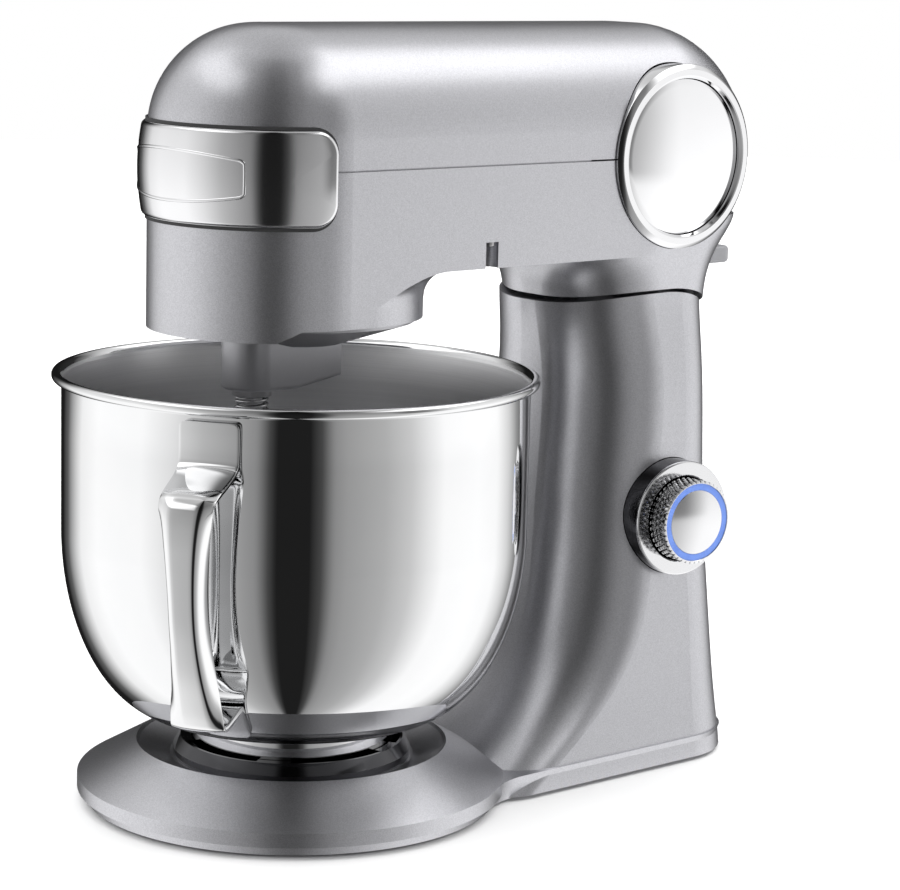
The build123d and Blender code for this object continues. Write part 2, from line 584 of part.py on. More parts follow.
tab_azimuths = [TAB_FIRST_AZIMUTH + i * 360 / TAB_COUNT for i in range(TAB_COUNT)]
seat_tabs = [sector(BOWL_FOOT_RADIUS + 0.6, SEAT_RADIUS - 4.2, SEAT_TOP_Z - 1.5, SEAT_TOP_Z, a,
                    TAB_HALF_ANGLE)
             for a in tab_azimuths]
bowl_seat_plate = seat_plate + seat_tabs
bowl_seat_plate = bowl_seat_plate - [drum(M4_HOLE_RADIUS, 0, 60, x, y) for x, y in SEAT_SCREW_PLACES]
save("bowl_seat_plate", bowl_seat_plate)

# ---------------------------------------------------------------- bowl
bead_centre = (BOWL_RADIUS + BOWL_BEAD_RADIUS + 0.1, BOWL_RIM_Z - BOWL_BEAD_RADIUS)


def bowl_outline(inset):
    """The bowl's side as an (r, z) curve: upright above, an ellipse below, flat in the middle."""
    radius = BOWL_RADIUS - inset
    flat = BOWL_RADIUS - BOWL_CURVE_WIDTH
    height = BOWL_CURVE_TOP_Z - BOWL_BOTTOM_Z
    curve = EllipticalCenterArc((flat, BOWL_CURVE_TOP_Z), BOWL_CURVE_WIDTH - inset, height - inset, 270,
                                arc_size=90)
    return flat, radius, Plane.XZ * curve


def bowl_body(inset, top):
    """The solid inside the bowl's side curve."""
    flat, radius, curve = bowl_outline(inset)
    bottom = BOWL_BOTTOM_Z + inset
    rest = Plane.XZ * Polyline((radius, BOWL_CURVE_TOP_Z), (radius, top), (0, top), (0, bottom),
                               (flat, bottom))
    return revolve(make_face(Curve() + [curve, rest]), Axis.Z)


bowl_shell = bowl_body(0, BOWL_RIM_Z - BOWL_BEAD_RADIUS) - bowl_body(BOWL_WALL, BOWL_RIM_Z + 5)
bead = revolve(Plane.XZ * Pos(*bead_centre) * Circle(BOWL_BEAD_RADIUS), Axis.Z)
bead_neck = tube(BOWL_RADIUS + 1.5, BOWL_RADIUS - BOWL_WALL, BOWL_RIM_Z - 3 * BOWL_BEAD_RADIUS + 1,
                 BOWL_RIM_Z - BOWL_BEAD_RADIUS)
bowl_shell = bowl_shell + (bead_neck - bowl_body(BOWL_WALL, BOWL_RIM_Z + 5)) + bead
save("bowl_shell", bowl_shell)

foot_bottom = seat_floor_top + MOVING_GAP
bowl_foot = turned([(BOWL_FOOT_RADIUS - 1.5, foot_bottom), (BOWL_FOOT_RADIUS, foot_bottom),
                    (BOWL_FOOT_RADIUS, BOWL_BOTTOM_Z - 2),
                    (BOWL_FOOT_RADIUS + 5, BOWL_BOTTOM_Z), (BOWL_FOOT_RADIUS - 1.5, BOWL_BOTTOM_Z)])
foot_lugs = [sector(BOWL_FOOT_RADIUS - 0.5, FOOT_LIP_RADIUS, SEAT_TOP_Z - 4, SEAT_TOP_Z - 2, a,
                    TAB_HALF_ANGLE - 1)
             for a in tab_azimuths]
save("bowl_foot", bowl_foot + foot_lugs)


# handle: one pressed strip, welded flat at the top, out and down as the grip, folded back at the foot
def bowl_side_radius(z):
    """The bowl's outer radius at a height in its curved part."""
    drop = min(1.0, max(0.0, (BOWL_CURVE_TOP_Z - z) / (BOWL_CURVE_TOP_Z - BOWL_BOTTOM_Z)))
    return BOWL_RADIUS - BOWL_CURVE_WIDTH * (1 - sqrt(1 - drop * drop))


HANDLE_TAB_TOP_Z = BOWL_RIM_Z - 7.5
HANDLE_TAB_FOOT_Z = BOWL_RIM_Z - 26.0
HANDLE_SHOULDER = (BOWL_RADIUS + 27.0, BOWL_RIM_Z - 35.5)
HANDLE_OUTERMOST = (BOWL_RADIUS + 32.0, BOWL_RIM_Z - 54.0)
HANDLE_WAIST = (BOWL_RADIUS + 29.0, BOWL_RIM_Z - 92.0)
HANDLE_HEEL = (BOWL_RADIUS + 11.5, BOWL_BOTTOM_Z + 20.2)
HANDLE_WELD_TOP_Z = BOWL_BOTTOM_Z + 23.7
HANDLE_WELD_FOOT_Z = BOWL_BOTTOM_Z + 6.7
strip_gap = HANDLE_SHEET / 2 + 0.1
tab_r = BOWL_RADIUS + strip_gap
weld_top = (bowl_side_radius(HANDLE_WELD_TOP_Z) + 4.0, HANDLE_WELD_TOP_Z)
weld_foot = (bowl_side_radius(HANDLE_WELD_FOOT_Z) + 4.4, HANDLE_WELD_FOOT_Z)
strip_line = FilletPolyline((tab_r, HANDLE_TAB_TOP_Z), (tab_r, HANDLE_TAB_FOOT_Z), HANDLE_SHOULDER,
                            HANDLE_OUTERMOST,
                            HANDLE_WAIST, HANDLE_HEEL, weld_top, weld_foot, radius=[4, 5, 12, 40, 3, 3])
strip = extrude(Plane.XZ * trace(strip_line, HANDLE_SHEET), amount=HANDLE_WIDTH / 2, both=True)
grip_low = HANDLE_HEEL[1] + 9
grip_high = HANDLE_SHOULDER[1] - 6
waist_cut = ThreePointArc((HANDLE_WIDTH / 2, grip_low), (HANDLE_WIDTH / 2 - 4, (grip_low + grip_high) / 2),
                          (HANDLE_WIDTH / 2, grip_high))
waist_face = make_face(Curve() + [waist_cut, Line((HANDLE_WIDTH / 2, grip_high),
                                                  (HANDLE_WIDTH / 2, grip_low))])
waist_tool = Pos(100, 0, 0) * extrude(Plane.YZ * waist_face, amount=60)
strip = strip - waist_tool - mirror(waist_tool, Plane.XZ)
flange_line = ThreePointArc((BOWL_RADIUS + 26.5, grip_high - 3),
                            (BOWL_RADIUS + 24, (grip_low + grip_high) / 2),
                            (BOWL_RADIUS + 12, grip_low + 4))
flange = extrude(Plane.XZ * trace(flange_line, 7.0), amount=1.0, both=True)
flange_y = HANDLE_WIDTH / 2 - 5.0
bowl_handle = strip + Pos(0, flange_y, 0) * flange + Pos(0, -flange_y, 0) * flange
bowl_handle = bowl_handle - bowl_body(-0.05, BOWL_RIM_Z)
bowl_handle = Rot(0, 0, HANDLE_AZIMUTH - 90) * bowl_handle
save("bowl_handle", bowl_handle)

# ---------------------------------------------------------------- gears
TOOTH_SHARE = 0.43
TIP_SHARE = 0.24
ROOT_SHARE = 0.58


def gear_points(teeth, module, addendum, dedendum, first_tooth):
    """The outline of a straight-sided gear, one tooth centred on the first_tooth angle."""
    pitch_radius = module * teeth / 2
    step = 2 * pi / teeth
    points = []
    for i in range(teeth):
        centre = radians(first_tooth) + i * step
        for side, share, radius in ((-1, ROOT_SHARE, pitch_radius - dedendum),
                                    (-1, TIP_SHARE, pitch_radius + addendum),
                                    (1, TIP_SHARE, pitch_radius + addendum),
                                    (1, ROOT_SHARE, pitch_radius - dedendum)):
            angle = centre + side * step * share / 2
            points.append((radius * cos(angle), radius * sin(angle)))
    return points


def spur_gear(teeth, module, z0, z1, bore, first_tooth):
    """An external spur gear."""
    outline = make_face(Polyline(*gear_points(teeth, module, 0.8 * module, 1.15 * module, first_tooth),
                                 close=True))
    return slab(outline - Circle(bore), z0, z1)


def ring_gear_blank(teeth, module, z0, z1, outer, first_tooth):
    """An internal gear; its teeth are the spaces left by an oversize external outline."""
    step_half = 180 / teeth
    spaces = make_face(Polyline(*gear_points(teeth, module, 1.15 * module, 0.8 * module, first_tooth
                                             + step_half), close=True))
    return slab(Circle(outer) - spaces, z0, z1)


def bevel_gear(teeth, module, toe_share, first_tooth):
    """A mitre gear below its apex at the origin, axis +Z, heel down, with straight tapering teeth."""
    heel = module * teeth / 2
    points = gear_points(teeth, module, 0.6 * module, 0.95 * module, first_tooth)
    big = Pos(0, 0, -heel) * make_face(Polyline(*points, close=True))
    small_points = [(x * toe_share, y * toe_share) for x, y in points]
    small = Pos(0, 0, -heel * toe_share) * make_face(Polyline(*small_points, close=True))
    return loft([big, small], ruled=True)


# ---------------------------------------------------------------- planetary drive
RING_BOTTOM_Z = 232.0
RING_TOP_Z = 242.0
RING_OUTER_RADIUS = 47.0
GEARBOX_RADIUS = 53.5
MAIN_BEARING_RADIUS = 13.0
SMALL_BEARING_RADIUS = 9.5
HUB_TOP_Z = 229.5
CHAMBER_FLOOR_Z = 255.0
CHAMBER_TOP_Z = 273.0
COVER_PLATE_TOP_Z = 276.0
CASE_MAIN_RADIUS = 42.0
CASE_SMALL_RADIUS = 17.0

ring_gear = ring_gear_blank(RING_TEETH, PLANET_MODULE, RING_BOTTOM_Z, RING_TOP_Z, RING_OUTER_RADIUS,
                            -90 + 180 / RING_TEETH)
save("ring_gear", ring_gear)


def case_plan(shrink):
    """The gearcase plan: a large circle over the hub joined to a small one over the input shaft."""
    big = Circle(CASE_MAIN_RADIUS - shrink)
    small = Pos(0, INPUT_Y) * Circle(CASE_SMALL_RADIUS - shrink)
    return make_hull((big.edges() + small.edges()))


gearbox_housing = tube(GEARBOX_RADIUS, RING_OUTER_RADIUS + SEAT_FIT, RING_BOTTOM_Z - 1, RING_TOP_Z + 4)
gearbox_housing += drum(GEARBOX_RADIUS, RING_TOP_Z + 4, RING_TOP_Z + 8)
gearbox_housing += drum(18, RING_TOP_Z + 8, CHAMBER_FLOOR_Z + 3) + tube(41, 38, RING_TOP_Z + 8,
                                                                        CHAMBER_FLOOR_Z)
gearbox_housing += slab(case_plan(0), CHAMBER_FLOOR_Z, CHAMBER_FLOOR_Z + 3)
gearbox_housing += drum(12.5, CHAMBER_FLOOR_Z, CHAMBER_FLOOR_Z + 6, 0, INPUT_Y)
gearbox_housing += slab(case_plan(0) - case_plan(3), CHAMBER_FLOOR_Z + 3, CHAMBER_TOP_Z)
gearbox_housing -= drum(MAIN_BEARING_RADIUS + SEAT_FIT, RING_TOP_Z + 4 - 1, CHAMBER_FLOOR_Z - 1)
M3_HEAD_RADIUS = 2.6
M3_SHANK_RADIUS = 1.25
CASE_SCREW_RING = CASE_MAIN_RADIUS - 1.5
CASE_SCREW_PLACES = [(CASE_SCREW_RING * cos(radians(a)), CASE_SCREW_RING * sin(radians(a)))
                     for a in (190, 215, 325, 350)]
CASE_SCREW_PLACES += [(-11, INPUT_Y + 11), (11, INPUT_Y + 11)]
case_holes = [drum(M3_SHANK_RADIUS + SEAT_FIT, CHAMBER_TOP_Z - 9, COVER_PLATE_TOP_Z + 1, x, y)
              for x, y in CASE_SCREW_PLACES]
gearbox_housing -= case_holes
gearbox_housing -= drum(CARRIER_SHAFT_RADIUS + 2, 200, 400)
gearbox_housing -= drum(SMALL_BEARING_RADIUS + SEAT_FIT, CHAMBER_FLOOR_Z + 0.5, CHAMBER_FLOOR_Z + 10, 0,
                        INPUT_Y)
save("gearbox_housing", gearbox_housing)

gearbox_cover = slab(case_plan(0), CHAMBER_TOP_Z, COVER_PLATE_TOP_Z) + drum(17, COVER_PLATE_TOP_Z,
                                                                            COVER_PLATE_TOP_Z + 5.5)
gearbox_cover += drum(12.5, COVER_PLATE_TOP_Z, COVER_PLATE_TOP_Z + 5, 0, INPUT_Y)
gearbox_cover -= drum(MAIN_BEARING_RADIUS + SEAT_FIT, CHAMBER_TOP_Z - 1, COVER_PLATE_TOP_Z + 4.5)
gearbox_cover -= drum(CARRIER_SHAFT_RADIUS + 2, 200, 400)
gearbox_cover -= drum(SMALL_BEARING_RADIUS + SEAT_FIT, CHAMBER_TOP_Z - 1, COVER_PLATE_TOP_Z + 4, 0, INPUT_Y)
gearbox_cover -= drum(INPUT_SHAFT_RADIUS + 1.5, 200, 400, 0, INPUT_Y)
gearbox_cover -= case_holes
save("gearbox_cover", gearbox_cover)


def bearing(shaft_radius, outer_radius, z0, z1):
    """A sealed ball bearing drawn as one ring with a groove between its races."""
    body = tube(outer_radius, shaft_radius + RUNNING_FIT, z0, z1)
    middle = (shaft_radius + outer_radius) / 2
    groove = (outer_radius - shaft_radius) * 0.22
    for low, high in ((z0 - 1, z0 + 0.4), (z1 - 0.4, z1 + 1)):
        body = body - tube(middle + groove, middle - groove, low, high)
    return body


MOTOR_PLATE_TOP_Z = LEDGE_TOP_Z + 3.0
MOTOR_CAN_TOP_Z = 303.0
shaft_bearings = [
    bearing(CARRIER_SHAFT_RADIUS, MAIN_BEARING_RADIUS, RING_TOP_Z + 4, RING_TOP_Z + 12),
    bearing(CARRIER_SHAFT_RADIUS, MAIN_BEARING_RADIUS, CHAMBER_TOP_Z + 0.5, COVER_PLATE_TOP_Z + 4.5),
    Pos(0, INPUT_Y) * bearing(INPUT_SHAFT_RADIUS, SMALL_BEARING_RADIUS, CHAMBER_FLOOR_Z + 0.5,
                              CHAMBER_FLOOR_Z + 6),
    Pos(0, INPUT_Y) * bearing(INPUT_SHAFT_RADIUS, SMALL_BEARING_RADIUS, CHAMBER_TOP_Z + 1,
                              COVER_PLATE_TOP_Z + 4),
    Pos(0, MOTOR_Y) * bearing(MOTOR_SHAFT_RADIUS, SMALL_BEARING_RADIUS, LEDGE_TOP_Z - 3, MOTOR_PLATE_TOP_Z),
    Pos(0, MOTOR_Y) * bearing(MOTOR_SHAFT_RADIUS, SMALL_BEARING_RADIUS, MOTOR_CAN_TOP_Z - 6,
                              MOTOR_CAN_TOP_Z - 1),
]
save("shaft_bearings", Compound([s for b in shaft_bearings for s in b.solids()]))

# planet hub: a shallow cone that closes the nose, and the arm that holds the beater shaft off centre
BUSH_OUTER_RADIUS = BEATER_SHAFT_RADIUS + 2.5
hub = turned([(0, 215.5), (20, 215.5), (HUB_RADIUS, 226.5), (HUB_RADIUS, HUB_TOP_Z),
              (HUB_RADIUS - 3, HUB_TOP_Z),
              (HUB_RADIUS - 3, 229), (22, 222), (0, 222)])
arm_plan = Pos(0, -PLANET_OFFSET) * Circle(HUB_ARM_RADIUS)
arm_plan += Pos(0, (14.5 - PLANET_OFFSET) / 2) * Rectangle(2 * HUB_ARM_RADIUS, 14.5 + PLANET_OFFSET)
hub_arm = slab(arm_plan, HUB_ARM_BOTTOM_Z, 222)
hub_arm -= side_plate([(-16, HUB_ARM_BOTTOM_Z - 1), (16, HUB_ARM_BOTTOM_Z + 4.5),
                       (16, HUB_ARM_BOTTOM_Z - 1)], -20, 20)
hub_arm = fillet(hub_arm.edges().filter_by(lambda e: e.center().Z < HUB_ARM_BOTTOM_Z
                                           + 6 and e.center().Y < 12
                                           and abs(e.tangent_at(0.5).Z) < 0.5), 1.6)
planet_hub = hub + hub_arm + drum(HUB_ARM_RADIUS, 220, RING_BOTTOM_Z - 2, 0, -PLANET_OFFSET)
planet_hub -= drum(BUSH_OUTER_RADIUS + SEAT_FIT, HUB_ARM_BOTTOM_Z + 1.5, RING_BOTTOM_Z + 5, 0,
                   -PLANET_OFFSET)
planet_hub -= drum(BEATER_SHAFT_RADIUS + 1, 150, 240, 0, -PLANET_OFFSET)
planet_hub -= drum(CARRIER_SHAFT_RADIUS + SEAT_FIT, 217, 300)
save("planet_hub", planet_hub)

bushes = [tube(BUSH_OUTER_RADIUS, BEATER_SHAFT_RADIUS + RUNNING_FIT, z0, z1, 0, -PLANET_OFFSET)
          for z0, z1 in ((HUB_ARM_BOTTOM_Z + 1.5, 209), (217, RING_BOTTOM_Z - 2))]
save("shaft_bushes", Compound([s for b in bushes for s in b.solids()]))

BEVEL_HEEL = BEVEL_MODULE * BEVEL_TEETH / 2
BEVEL_BORE = 4.0
bevel_heel_z = OUTLET_Z - BEVEL_HEEL
bevel_toe_share = 0.66
carrier_shaft = drum(CARRIER_SHAFT_RADIUS, 217, bevel_heel_z - 3)
carrier_shaft += drum(BEVEL_BORE - SEAT_FIT, bevel_heel_z - 3, OUTLET_Z - BEVEL_HEEL * bevel_toe_share)
save("carrier_shaft", carrier_shaft)

carrier_gear = spur_gear(CARRIER_TEETH, DRIVE_MODULE, CHAMBER_FLOOR_Z + 8, CHAMBER_FLOOR_Z + 16,
                         CARRIER_SHAFT_RADIUS + SEAT_FIT, 90)
save("carrier_gear", carrier_gear)


def outlet_gear(first_tooth):
    """One of the two mitre gears of the outlet drive, with its hub, apex at the origin."""
    body = bevel_gear(BEVEL_TEETH, BEVEL_MODULE, bevel_toe_share, first_tooth)
    body = body + drum(BEVEL_HEEL - 2, -BEVEL_HEEL - 2.8, -BEVEL_HEEL)
    return body - drum(BEVEL_BORE, -BEVEL_HEEL - 10, 0)


save("upright_bevel", Pos(0, 0, OUTLET_Z) * outlet_gear(-90))

# beater shaft: hangs from the planet pinion and carries a cross pin that locks the beater
PIN_Z = 172.0
SHAFT_GROOVE_Z = 168.0
shaft_top = RING_TOP_Z + 1.5
beater_shaft = drum(BEATER_SHAFT_RADIUS, BEATER_SHAFT_TIP_Z, shaft_top, 0, -PLANET_OFFSET)
beater_shaft = chamfer(beater_shaft.edges().group_by(Axis.Z)[0], 1.2)
beater_shaft -= drum_x(2.0, -20, 20, -PLANET_OFFSET, PIN_Z)
relief_groove = tube(BEATER_SHAFT_RADIUS + 1, BEATER_SHAFT_RADIUS - 0.5, SHAFT_GROOVE_Z, SHAFT_GROOVE_Z
                     + 1, 0, -PLANET_OFFSET)
beater_shaft -= relief_groove
save("beater_shaft", beater_shaft)
save("drive_pin", drum_x(2.0 - SEAT_FIT, -9.5, 9.5, -PLANET_OFFSET, PIN_Z))
save("planet_pinion", Pos(0, -PLANET_OFFSET) * spur_gear(PLANET_TEETH, PLANET_MODULE, RING_BOTTOM_Z,
                                                         RING_TOP_Z,
                                                         BEATER_SHAFT_RADIUS + SEAT_FIT, -90))
COLLAR_RADIUS = BEATER_SHAFT_RADIUS + 3.0
SPRING_RADIUS = BEATER_SHAFT_RADIUS + 1.3
collar = tube(COLLAR_RADIUS, BEATER_SHAFT_RADIUS + SEAT_FIT, HUB_ARM_BOTTOM_Z - 3.2, HUB_ARM_BOTTOM_Z
              - 0.6, 0, -PLANET_OFFSET)
collar += tube(SPRING_RADIUS, BEATER_SHAFT_RADIUS + SEAT_FIT, 176, 179, 0, -PLANET_OFFSET)
save("spring_collar", collar)
save("shaft_spring", Pos(0, -PLANET_OFFSET) * coil_stack(SPRING_RADIUS, 1.2, 6, 179.1, HUB_ARM_BOTTOM_Z
                                                         - 3.3))

# ---------------------------------------------------------------- input shaft, motor and belt
PULLEY_HALF = BELT_WIDTH / 2 + 0.5
FLANGE = 1.5


def pulley(drum_radius, flange_height, bore, y):
    """A belt pulley with two flanges."""
    low = BELT_Z - PULLEY_HALF
    high = BELT_Z + PULLEY_HALF
    outline = [(bore, low - FLANGE), (drum_radius + flange_height, low - FLANGE),
               (drum_radius + flange_height, low - 0.4),
               (drum_radius, low), (drum_radius, high), (drum_radius + flange_height, high + 0.4),
               (drum_radius + flange_height, high + FLANGE), (bore, high + FLANGE)]
    return Pos(0, y, 0) * turned(outline)


pulley_top_z = BELT_Z + PULLEY_HALF + FLANGE
save("input_shaft", drum(INPUT_SHAFT_RADIUS, CHAMBER_FLOOR_Z + 0.8, pulley_top_z + 2, 0, INPUT_Y))
save("input_pinion", Pos(0, INPUT_Y) * spur_gear(INPUT_TEETH, DRIVE_MODULE, CHAMBER_FLOOR_Z + 7,
                                                 CHAMBER_FLOOR_Z + 17,
                                                 INPUT_SHAFT_RADIUS + SEAT_FIT, -90 + 180 / INPUT_TEETH))
input_pulley = pulley(INPUT_PULLEY_RADIUS, 3.5, INPUT_SHAFT_RADIUS + SEAT_FIT, INPUT_Y)
input_pulley -= [drum(5.5, 200, 400, 20 * cos(radians(a)), INPUT_Y + 20 * sin(radians(a)))
                 for a in range(0, 360, 60)]
save("input_pulley", input_pulley)


def belt_plan(clearance):
    """The loop that wraps both pulleys."""
    small = Pos(0, MOTOR_Y) * Circle(MOTOR_PULLEY_RADIUS + clearance)
    big = Pos(0, INPUT_Y) * Circle(INPUT_PULLEY_RADIUS + clearance)
    return make_hull(big.edges() + small.edges())


BELT_SEAT = 0.3
save("drive_belt", slab(belt_plan(BELT_SEAT + BELT_THICKNESS) - belt_plan(BELT_SEAT), BELT_Z
                        - BELT_WIDTH / 2, BELT_Z + BELT_WIDTH / 2))

motor_bracket = slab(Pos(0, 163) * RectangleRounded(86, 110, 22), LEDGE_TOP_Z, MOTOR_PLATE_TOP_Z)
motor_bracket += drum(12, LEDGE_TOP_Z - 4, LEDGE_TOP_Z, 0, MOTOR_Y)
motor_bracket -= drum(SMALL_BEARING_RADIUS + SEAT_FIT, LEDGE_TOP_Z - 3, MOTOR_PLATE_TOP_Z + 1, 0, MOTOR_Y)
motor_bracket -= drum(MOTOR_SHAFT_RADIUS + 1.5, 200, 400, 0, MOTOR_Y)
motor_bracket -= [drum(M4_HOLE_RADIUS, 200, 400, x, y) for x, y in MOTOR_SCREW_PLACES]
save("motor_bracket", motor_bracket)

motor_can = drum(MOTOR_RADIUS, MOTOR_PLATE_TOP_Z, MOTOR_CAN_TOP_Z, 0, MOTOR_Y)
motor_can -= drum(22, MOTOR_PLATE_TOP_Z - 1, MOTOR_CAN_TOP_Z - 8, 0, MOTOR_Y)
motor_can -= drum(SMALL_BEARING_RADIUS + SEAT_FIT, MOTOR_CAN_TOP_Z - 9, MOTOR_CAN_TOP_Z - 1, 0, MOTOR_Y)
motor_can -= drum(MOTOR_SHAFT_RADIUS + 1.5, 200, 400, 0, MOTOR_Y)
motor_can -= [block(-3, 3, MOTOR_RADIUS - 8, MOTOR_RADIUS + 5, 266,
                    294).moved(Rot(0, 0, a)).moved(Pos(0, MOTOR_Y))
              for a in range(20, 360, 40)]
save("motor_can", motor_can)
save("motor_shaft", drum(MOTOR_SHAFT_RADIUS, LEDGE_TOP_Z - 2.5, pulley_top_z + 1, 0, MOTOR_Y))
rotor = tube(21.2, MOTOR_SHAFT_RADIUS + SEAT_FIT, MOTOR_PLATE_TOP_Z + 6, MOTOR_CAN_TOP_Z - 13, 0, MOTOR_Y)
rotor -= [block(-1, 1, 14, 30, 200, 400).moved(Rot(0, 0, a)).moved(Pos(0, MOTOR_Y))
          for a in range(0, 360, 30)]
save("motor_rotor", rotor)
save("motor_pulley", pulley(MOTOR_PULLEY_RADIUS, 2.5, MOTOR_SHAFT_RADIUS + SEAT_FIT, MOTOR_Y))
FAN_Z = MOTOR_CAN_TOP_Z + 2
fan = tube(7, MOTOR_SHAFT_RADIUS + SEAT_FIT, FAN_Z, FAN_Z + 7.5) + tube(30, 6.5, FAN_Z, FAN_Z + 1.2)
fan += [block(6, 29, -0.6, 0.6, FAN_Z, FAN_Z + 6).moved(Rot(0, 0, a)) for a in range(0, 360, 30)]
save("cooling_fan", Pos(0, MOTOR_Y) * fan)

# ---------------------------------------------------------------- front power outlet
barrel_front = NOSE_FRONT_Y + 2.6
socket_floor = barrel_front + OUTLET_SOCKET_DEPTH
outlet_barrel = drum_y(OUTLET_BARREL_RADIUS, barrel_front, -20, 0, OUTLET_Z)
outlet_barrel += block(-10, 10, -39, -27, COVER_PLATE_TOP_Z, OUTLET_Z - 5)
outlet_barrel -= drum_y(OUTLET_BORE_RADIUS, barrel_front - 1, socket_floor, 0, OUTLET_Z)
outlet_barrel -= drum_y(OUTLET_SHAFT_RADIUS + RUNNING_FIT, socket_floor - 1, 0, 0, OUTLET_Z)
save("outlet_barrel", outlet_barrel)
outlet_shaft = drum_y(OUTLET_SHAFT_RADIUS, socket_floor + 1, -BEVEL_HEEL - 3, 0, OUTLET_Z)
outlet_shaft += drum_y(BEVEL_BORE - SEAT_FIT, -BEVEL_HEEL - 3, -BEVEL_HEEL * bevel_toe_share, 0, OUTLET_Z)
outlet_shaft -= block(-4, 4, socket_floor, socket_floor + 14, OUTLET_Z - 4, OUTLET_Z + 4)
save("outlet_shaft", outlet_shaft)
half_tooth = 180 / BEVEL_TEETH
save("outlet_bevel", Pos(0, 0, OUTLET_Z) * Rot(-90, 0, 0) * outlet_gear(-90 + half_tooth))

# ---------------------------------------------------------------- port cover and its seal
SEAL_THICKNESS = 0.8
SEAL_BORDER = 1.6
COVER_CLEARANCE = 0.2
PORT_CORNER_RADIUS = 10.0
COVER_EDGE_RADIUS = 2.2


def wrap_band(inner_offset, outer_offset, half_height, end_y, corner):
    """A U-shaped band round the nose with rounded corners at its two ends."""
    def plan(extra):
        outline = Pos(0, NOSE_CENTRE_Y) * Circle(NOSE_RADIUS + extra)
        return outline + Pos(0, NOSE_CENTRE_Y + 60) * Rectangle(2 * (NOSE_RADIUS + extra), 120)

    band = slab(plan(outer_offset) - plan(inner_offset), OUTLET_Z - half_height, OUTLET_Z + half_height)
    window = Pos(NOSE_FRONT_Y - 50 + (end_y - NOSE_FRONT_Y + 50) / 2, OUTLET_Z) * RectangleRounded(
        end_y - NOSE_FRONT_Y + 50, 2 * half_height, corner)
    return band & extrude(Plane.YZ * window, amount=100, both=True)


seal = wrap_band(0.02, SEAL_THICKNESS, PORT_COVER_HALF_HEIGHT + SEAL_BORDER, PORT_COVER_END_Y + SEAL_BORDER,
                 PORT_CORNER_RADIUS + SEAL_BORDER)
seal -= drum_y(PORT_HOLE_RADIUS, NOSE_FRONT_Y - 5, NOSE_FRONT_Y + 20, 0, OUTLET_Z)
save("port_seal", seal)
cover_inner = SEAL_THICKNESS + COVER_CLEARANCE
port_cover = wrap_band(cover_inner, PORT_COVER_PROUD, PORT_COVER_HALF_HEIGHT, PORT_COVER_END_Y,
                       PORT_CORNER_RADIUS)
outer_face = port_cover.faces().filter_by(GeomType.CYLINDER).sort_by(lambda f: f.area)[-1]
port_cover = fillet(outer_face.edges(), COVER_EDGE_RADIUS)
save("port_cover", port_cover)

# ---------------------------------------------------------------- side discs
DISC_CUP_FLOOR = 2.0
DISC_CUP_WALL = 3.2
DISC_FACE_X = HEAD_HALF_WIDTH + DISC_PROUD
for side, name in ((1, "right"), (-1, "left")):
    cup_outline = [(0, DISC_BACK_X + 0.5), (DISC_RADIUS, DISC_BACK_X + 0.5),
                   (DISC_RADIUS, DISC_FACE_X - 2.2),
                   (DISC_RADIUS - 2.2, DISC_FACE_X), (MIRROR_RADIUS + 2.6, DISC_FACE_X),
                   (MIRROR_RADIUS + 0.9, DISC_FACE_X - 1.6),
                   (MIRROR_RADIUS + 0.9, DISC_BACK_X + 0.5 + DISC_CUP_FLOOR),
                   (0, DISC_BACK_X + 0.5 + DISC_CUP_FLOOR)]
    mirror_back = DISC_BACK_X + 0.5 + DISC_CUP_FLOOR
    dome_rise = 2.2
    edge_x = DISC_FACE_X - 2.4
    place = Pos(0, DISC_Y, DISC_Z) * Rot(0, 90 * side, 0)
    cup = turned(cup_outline) + tube(6, 3, mirror_back - 0.5, edge_x - 3)
    save(f"side_ring_{name}", place * cup)
    save(f"side_mirror_{name}", place * domed_disc(MIRROR_RADIUS, edge_x - 3, edge_x, dome_rise))

# ---------------------------------------------------------------- speed dial
BEZEL_FACE_WIDTH = 6.4
BEZEL_DEPTH = 23.2
LIGHT_OUTER_RADIUS = KNOB_RADIUS - 1.5
LIGHT_INNER_RADIUS = LIGHT_OUTER_RADIUS - 3.1
SPINDLE_RADIUS = 3.0
bezel_bore = KNOB_RADIUS + KNOB_FIT
bezel = dial_drum(BEZEL_RADIUS, -BEZEL_DEPTH, -1.2) - dial_drum(bezel_bore, -BEZEL_DEPTH + 3, 5)
bezel -= dial_drum(SPINDLE_RADIUS + 1.5, -40, 5)
save("dial_bezel", bezel)
trim_ring = dial_drum(BEZEL_RADIUS, -1.2, 0) - dial_drum(BEZEL_RADIUS - BEZEL_FACE_WIDTH, -5, 5)
trim_ring = chamfer(trim_ring.edges().filter_by(GeomType.CIRCLE).sort_by(lambda e: -e.length)[0:2].sort_by(
    lambda e: (e.center() - DIAL_PLANE.origin).dot(DIAL_AXIS))[-1], 0.7)
save("dial_trim_ring", trim_ring)

knob_back = -BEZEL_DEPTH + 4
flute_points = []
for i in range(KNOB_FLUTES):
    step = 360 / KNOB_FLUTES
    for share, depth in ((-0.30, 0.0), (0.20, 0.0), (0.28, 1.1), (0.62, 1.1)):
        angle = radians((i + share) * step)
        flute_points.append(((KNOB_RADIUS - depth) * cos(angle), (KNOB_RADIUS - depth) * sin(angle)))
fluted = make_face(Polyline(*flute_points, close=True))
knob = DIAL_PLANE * Pos(0, 0, 0.8) * extrude(fluted, amount=KNOB_PROJECTION - 0.8)
knob += dial_drum(KNOB_RADIUS - 1.1, knob_back, 1.0)
light_seat_depth = 4.0
knob -= dial_drum(LIGHT_OUTER_RADIUS + SEAT_FIT, KNOB_PROJECTION - light_seat_depth, KNOB_PROJECTION + 5)
knob -= dial_drum(KNOB_RADIUS - 4, knob_back + 4, KNOB_PROJECTION - light_seat_depth - 2)
